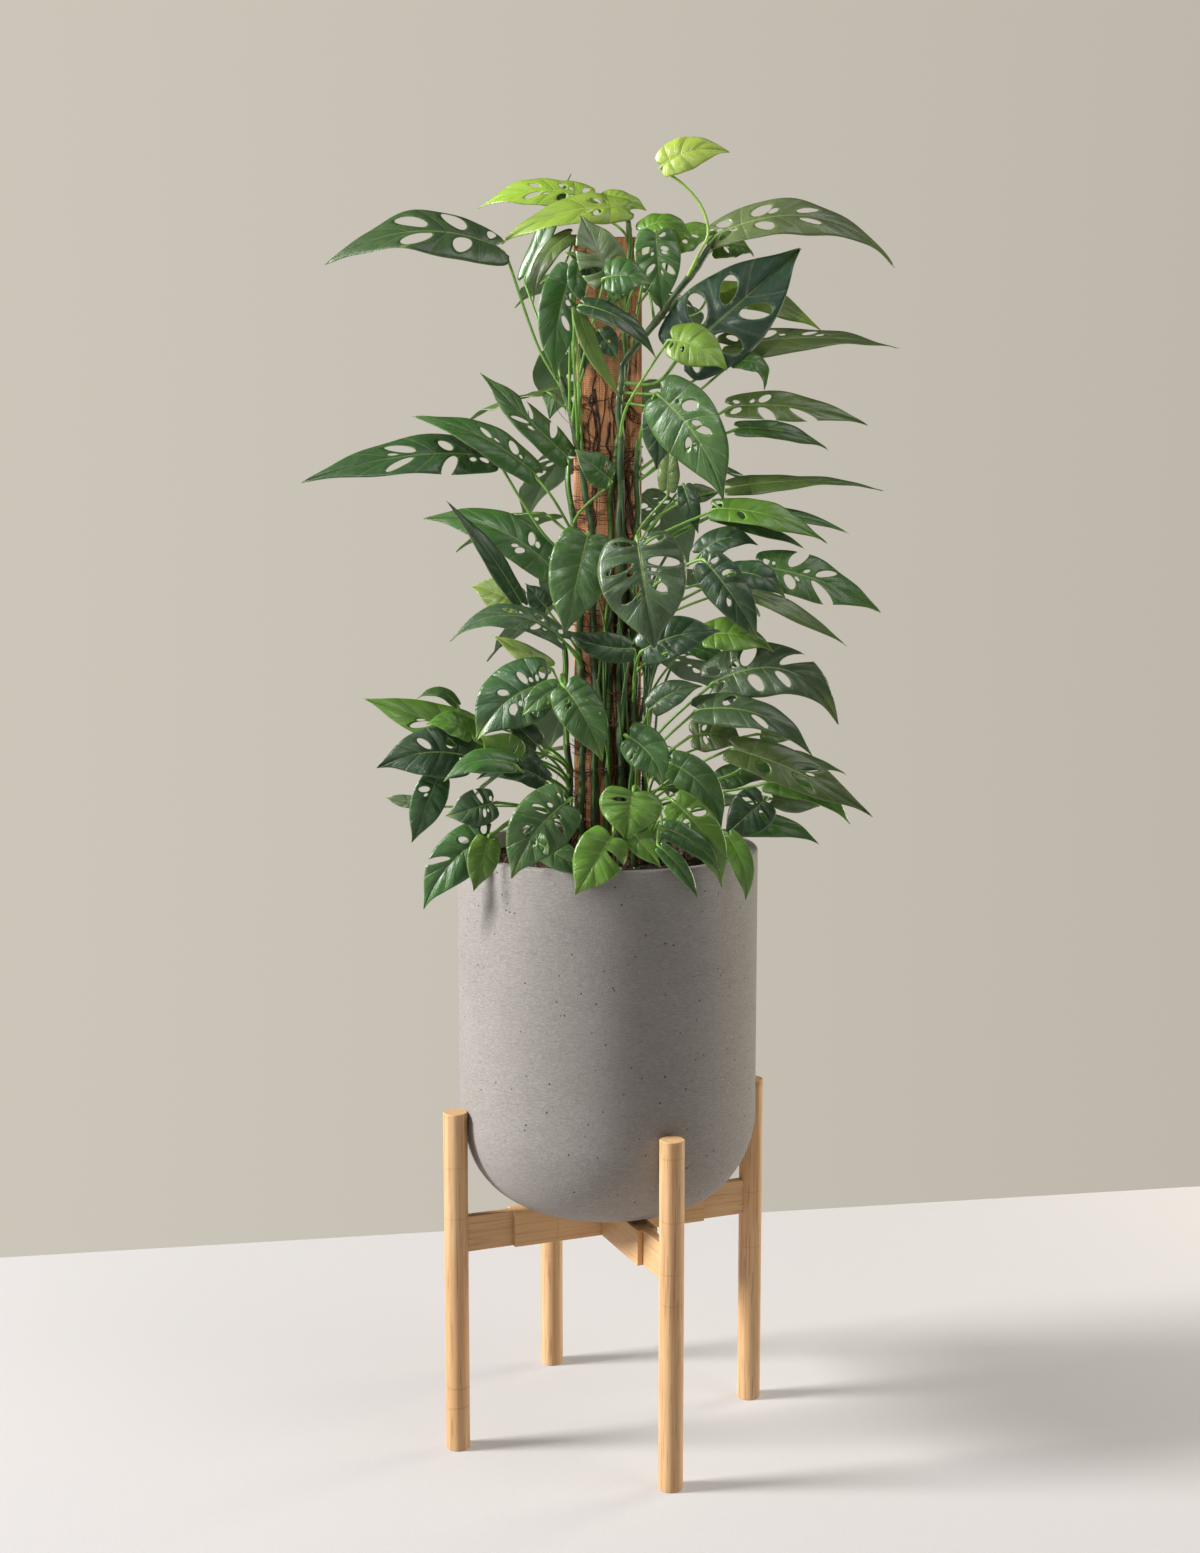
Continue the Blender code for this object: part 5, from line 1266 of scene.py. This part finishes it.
def wrapping_roots(draw):
    """Roots that go once round the board and the stems, in the bands where the photograph shows dark fibre."""
    lines = []
    for middle, spread, count in BANDS:
        for _ in range(count):
            height = (middle + draw.uniform(-spread, spread)) * MM
            tilt, wobble = draw.uniform(-0.25, 0.25), draw.uniform(0, 6)
            line = []
            for turn in np.linspace(draw.uniform(-0.2, 0.4), math.pi * draw.uniform(1.1, 1.9), 34):
                side, front = -math.cos(turn) * (BOARD_WIDTH / 2 + 2.2 * MM), math.sin(turn)
                over_stems = -BOARD_THICK / 2 - 0.6 * MM - 9.5 * MM * max(0.0, front) ** 0.6
                line.append((side, over_stems if front > 0 else BOARD_THICK / 2 + 1.2 * MM,
                             height + tilt * side + 1.6 * MM * math.sin(4 * turn + wobble)))
            lines.append(root_line(line, draw.uniform(0.35, 0.7) * MM))
    return lines


def loose_stalks(draw):
    """Thin stalks that climb close to the board, between the stems, and pass behind the leaves."""
    lines = []
    for number in range(34):
        low = draw.uniform(630, 900)
        side, drift = draw.uniform(-16, 46), draw.uniform(-16, 26)
        depth, rise = draw.uniform(20, 40), draw.uniform(70, 150)
        spots = [(side, low, 12), (side + drift * 0.25, low + rise * 0.3, depth * 0.7),
                 (side + drift * 0.5, low + rise * 0.65, depth), (side + drift * 1.3, low + rise, depth + 8)]
        path = through([seen(*spot) for spot in spots], 20)
        count = len(path)
        tone = np.array(TONES[STALK_GREENS[number % len(STALK_GREENS)]]) * draw.uniform(0.55, 1.0)
        thick = draw.uniform(1.0, 1.7) * MM * (1 + 0.5 * np.exp(-np.linspace(0, 12, count)))
        lines.append((path, thick, one_tone(tone, count), np.zeros(count)))
    return lines


def free_loops():
    """The thin loops that hang out on the left of the board."""
    return [root_line(through([seen(*spot) for spot in row], 24), 0.45 * MM) for row in FREE_LOOPS]


draw = random.Random(41)
root_lines = clinging_roots(draw) + root_bundle(draw) + wrapping_roots(draw) + free_loops()
roots = skinned("aerial_roots", root_lines, root_finish(), sides=5)
dress(roots, None, ROOT, "cedar")
stalks = skinned("loose_stalks", loose_stalks(random.Random(17)), living_stem)
dress(stalks, None, ROOT, "leaf_mid_green")
print("root faces", len(roots.data.polygons), "stalk faces", len(stalks.data.polygons))

# %% [markdown]
# ## The stand
# The stand is bamboo: four round legs, each with a flat bar that slides between the two plates of a sleeve. Its
# fibres run along each piece, with darker bands at the nodes, and show as dots on a sawn end. A pattern in object
# coordinates would run one way through all of them, so every piece carries its own coordinates along the grain.

# %% The bamboo finish
def bamboo_finish():
    wood = Finish("honey_bamboo", "#cf9f66", 0.48, Coat_Roughness=0.35)
    place, end = wood.attribute("fibre", "Vector"), wood.attribute("end")

    def lengthwise(share):
        return wood.stretched(place, (share, 1.0, 1.0))

    strand = wood.grain(lengthwise(0.012), 900.0, 3.0, 0.6).between(0.30, 0.70)
    strip = wood.grain(lengthwise(0.01), 160.0).between(0.35, 0.65)
    cloud = wood.grain(lengthwise(0.25), 30.0).between(0.3, 0.7)
    fleck = wood.grain(lengthwise(0.03), 620.0, 1.0).between(0.60, 0.68)
    level = wood.grain(wood.stretched(place, (1.0, 0.05, 0.05)), 13.0, 0.0)
    band = level.between(0.600, 0.604) * level.within(0.606, 0.612)
    dots = wood.cells(lengthwise(0.0), 850.0).within(0.20, 0.45)
    body = wood.coats("#c59460", (strip, "#dcb17f"), (0.50 * strand, "#ebcd9f"), (0.34 * cloud, "#b98550"),
                      (0.50 * fleck, "#94633a"), (0.28 * band, "#9a6a3c"))
    cut = wood.mix(0.55 * dots, "#d8ae7c", "#94683c")
    wood.paint(Base_Color=wood.mix(end, body, cut), Roughness=0.40 + 0.12 * strand + 0.2 * end,
               Coat_Weight=0.12 * (1 - end))
    wood.relief(0.5 * strand + 0.3 * strip + 0.8 * band, 0.35, 0.0004)
    return wood


honey_bamboo = bamboo_finish()
print("bamboo finish nodes:", len(honey_bamboo.tree.nodes))

# %% [markdown]
# The legs are turned again with a fine chamfer, as the pot was. The bars and the plates are already right in size,
# so they are copies of the CAD solids. Only their sharp edges are broken, since a real edge always catches a line
# of light.

# %% Turn the legs and break the edges of the flat pieces
STAND_TURN, QUARTER = math.radians(22.16), math.pi / 2
LEG_RADIUS, LEG_HEIGHT, LEG_CIRCLE, LEG_CHAMFER = 12.7 * MM, 368.0 * MM, 171.5 * MM, 0.8 * MM
LEG_STEPS, LEG_SIDES = 40, 56
BAR_EDGE, PLATE_EDGE = 0.6 * MM, 0.7 * MM
# Each piece reads the pattern at another place. A bar shows its cut end only at the middle of the stand.
PIECE_SHIFT = np.array((0.37, 0.11, 0.05))
BAR_START, NO_END, PLATE_REACH, PLATES_APART = 46 * MM, 10.0, 109 * MM, 7 * MM


def fibre_values(obj, turn, origin, upright, low, high):
    """Stores where each point lies along and across the grain, and whether it is on an end, past low or high."""
    points = np.empty(len(obj.data.vertices) * 3, np.float32)
    obj.data.vertices.foreach_get("co", points)
    points = points.reshape(-1, 3) - origin
    cos, sin = math.cos(turn), math.sin(turn)
    out = points[:, 0] * cos + points[:, 1] * sin
    over = points[:, 1] * cos - points[:, 0] * sin
    fibre = np.column_stack([points[:, 2], out, over] if upright else [out, over, points[:, 2]])
    end = (fibre[:, 0] < low) | (fibre[:, 0] > high)
    fibre += PIECE_SHIFT * (1 + round(turn * 10) % 7)
    store(obj.data, fibre=fibre, end=end)


def leg(label, turn):
    """One leg: a turned rod with a fine chamfer, moved to its place."""
    inner, tiny = LEG_RADIUS - LEG_CHAMFER, 0.02 * MM
    steps = [LEG_CHAMFER + (LEG_HEIGHT - 2 * LEG_CHAMFER) * i / LEG_STEPS for i in range(LEG_STEPS)]
    half = [(0, 0), (inner * 0.6, 0), (inner, 0), (inner + tiny, tiny)]
    profile = half + [(LEG_RADIUS, height) for height in steps] + [(LEG_RADIUS, LEG_HEIGHT - LEG_CHAMFER)]
    profile += [(radius, LEG_HEIGHT - height) for radius, height in half[::-1]]
    obj = turned("leg_round_" + label, profile, LEG_SIDES)
    obj.data.set_sharp_from_angle(angle=math.radians(30))
    foot = Vector((LEG_CIRCLE * math.cos(turn), LEG_CIRCLE * math.sin(turn), 0))
    obj.data.transform(Matrix.Translation(foot))
    fibre_values(obj, turn, np.array(foot), True, 0.05 * MM, LEG_HEIGHT - 0.05 * MM)
    return obj


def broken_edges(node, name, width):
    """A copy of a flat CAD piece with its doubles merged and its edges rounded."""
    work = bmesh.new()
    work.from_mesh(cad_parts[node].data)
    bmesh.ops.remove_doubles(work, verts=work.verts, dist=0.01 * MM)
    bmesh.ops.dissolve_limit(work, angle_limit=math.radians(2), verts=work.verts, edges=work.edges)
    bmesh.ops.bevel(work, geom=work.edges[:], offset=width, offset_type="OFFSET", segments=3, profile=0.6,
                    affect="EDGES", clamp_overlap=True)
    return solid_object(name, work)


for quarter, label in enumerate(("right", "back", "left", "front")):
    turn = STAND_TURN + quarter * QUARTER
    dress(leg(label, turn), honey_bamboo, "arm_" + label, "bamboo", "leg_" + label)
    bar = broken_edges("bar_" + label, "bar_flat_" + label, BAR_EDGE)
    fibre_values(bar, turn, np.zeros(3), False, BAR_START, NO_END)
    dress(bar, honey_bamboo, "arm_" + label, "bamboo", "bar_" + label)
for quarter, label in enumerate(("across", "along")):
    for level, side in enumerate(("near", "far")):
        node = f"sleeve_{label}_{side}"
        plate = broken_edges(node, f"plate_{label}_{side}", PLATE_EDGE)
        fibre_values(plate, STAND_TURN + quarter * QUARTER, np.array((0, 0, level * PLATES_APART)), False,
                     -PLATE_REACH, PLATE_REACH)
        dress(plate, honey_bamboo, ROOT, "bamboo", node)
print("stand pieces dressed")

# %% [markdown]
# ## Floor, wall colour and light
# The floor is a pale sheet whose far edge shows as the line where it meets the wall. The wall is only a soft warm
# grey round the scene, so that nothing hides the plant from behind. A large soft light stands high at the left and
# throws the shadows to the right. A weaker one hangs over the plant, and a weak warm one stands at the right. A
# narrow spot from the front reaches the plant and its board, and not the pot.

# %% Stage
FLOOR_SIDE, FLOOR_NEAR, FAR_LEFT, FAR_RIGHT = 3.2, -6.0, 0.07, 1.21
# The wall is darker at the right than at the left; this is painted shade.
WALL_LEFT, WALL_RIGHT, FADE = "#ccc5b9", "#beb7ab", (-0.25, 0.27)
ROOM_TINT, ROOM_LIGHT = (0.60, 0.60, 0.585, 1), 0.12


def floor():
    finish = Finish("pale_floor", "#c6c4c4", 0.85, Specular_IOR_Level=0.15, Emission_Strength=0.25)
    cast = finish.grain(finish.position(), 900.0).between(0.3, 0.7)
    finish.paint(Base_Color=finish.mix(cast, "#b0adac", "#b5b2b1"), Emission_Color="#e9e5e2")
    finish.relief(cast, 0.3, 0.0004)
    obj = mesh_object("floor", [(-FLOOR_SIDE, FLOOR_NEAR, 0), (FLOOR_SIDE, FLOOR_NEAR, 0), (FLOOR_SIDE, FAR_RIGHT, 0),
                                (-FLOOR_SIDE, FAR_LEFT, 0)], [(0, 1, 2, 3)])
    obj.data.materials.append(finish.material)


def lamp(name, kind, place, target, power, **settings):
    """A lamp of this kind that looks at its target."""
    data = bpy.data.lights.new(name, kind)
    data.energy = power
    for label, value in settings.items():
        setattr(data, label, value)
    obj = placed(name, data)
    obj.location = place
    obj.rotation_euler = (Vector(target) - Vector(place)).to_track_quat("-Z", "Y").to_euler()


def wall_and_room():
    """The camera sees a warm grey wall, a little darker to the right as painted shade. The pieces see a dimmer room."""
    world = bpy.data.worlds.new("wall_and_room")
    world.use_nodes = True
    tree = world.node_tree
    way = put(tree, "ShaderNodeSeparateXYZ", Vector=put(tree, "ShaderNodeTexCoord").outputs["Generated"])
    fade = put(tree, "ShaderNodeMapRange", Value=way, From_Min=FADE[0], From_Max=FADE[1])
    tint = put(tree, "ShaderNodeMix", {"data_type": "RGBA"}, Factor=fade, A=(*colour(WALL_LEFT), 1),
               B=(*colour(WALL_RIGHT), 1))
    wall = put(tree, "ShaderNodeBackground", Color=tint)
    room = put(tree, "ShaderNodeBackground", Color=ROOM_TINT, Strength=ROOM_LIGHT)
    by_camera = put(tree, "ShaderNodeLightPath").outputs["Is Camera Ray"]
    choose = tree.nodes.new("ShaderNodeMixShader")
    for socket, wire in zip(choose.inputs, (by_camera, room.outputs[0], wall.outputs[0])):
        tree.links.new(wire, socket)
    tree.links.new(choose.outputs[0], tree.nodes["World Output"].inputs["Surface"])
    bpy.context.scene.world = world


floor()
wall_and_room()
for name, place, target, size, power, tint in (
        ("key_left", (-4.90, -0.70, 3.08), (0, 0, 0.70), 1.50, 610.0, (1.0, 0.99, 0.98)),
        ("soft_overhead", (1.45, -0.70, 3.10), (0, 0, 1.1), 1.5, 22.0, (1.0, 0.995, 0.98)),
        ("bounce_right", (2.2, 1.2, 0.8), (0, 0, 0.5), 1.2, 44.0, (1.0, 0.93, 0.76))):
    lamp(name, "AREA", place, target, power, shape="DISK", size=size, color=tint)
lamp("plant_spot", "SPOT", (-0.75, -2.7, 2.1), (0, 0, 1.05), 95.0, spot_size=math.radians(17.0), spot_blend=0.6,
     shadow_soft_size=0.12)
bpy.context.scene.view_settings.view_transform = "Standard"
print("stage and", len([o for o in bpy.data.objects if o.type == "LIGHT"]), "lights")

# %% [markdown]
# ## Check the size and finish
# Both boxes, of the dressed model and of the CAD model, are written down before the frame is closed. The
# dressed model may not outgrow the CAD model.

# %% Finish
def plain(box):
    return [[round(float(c), 6) for c in corner] for corner in box]
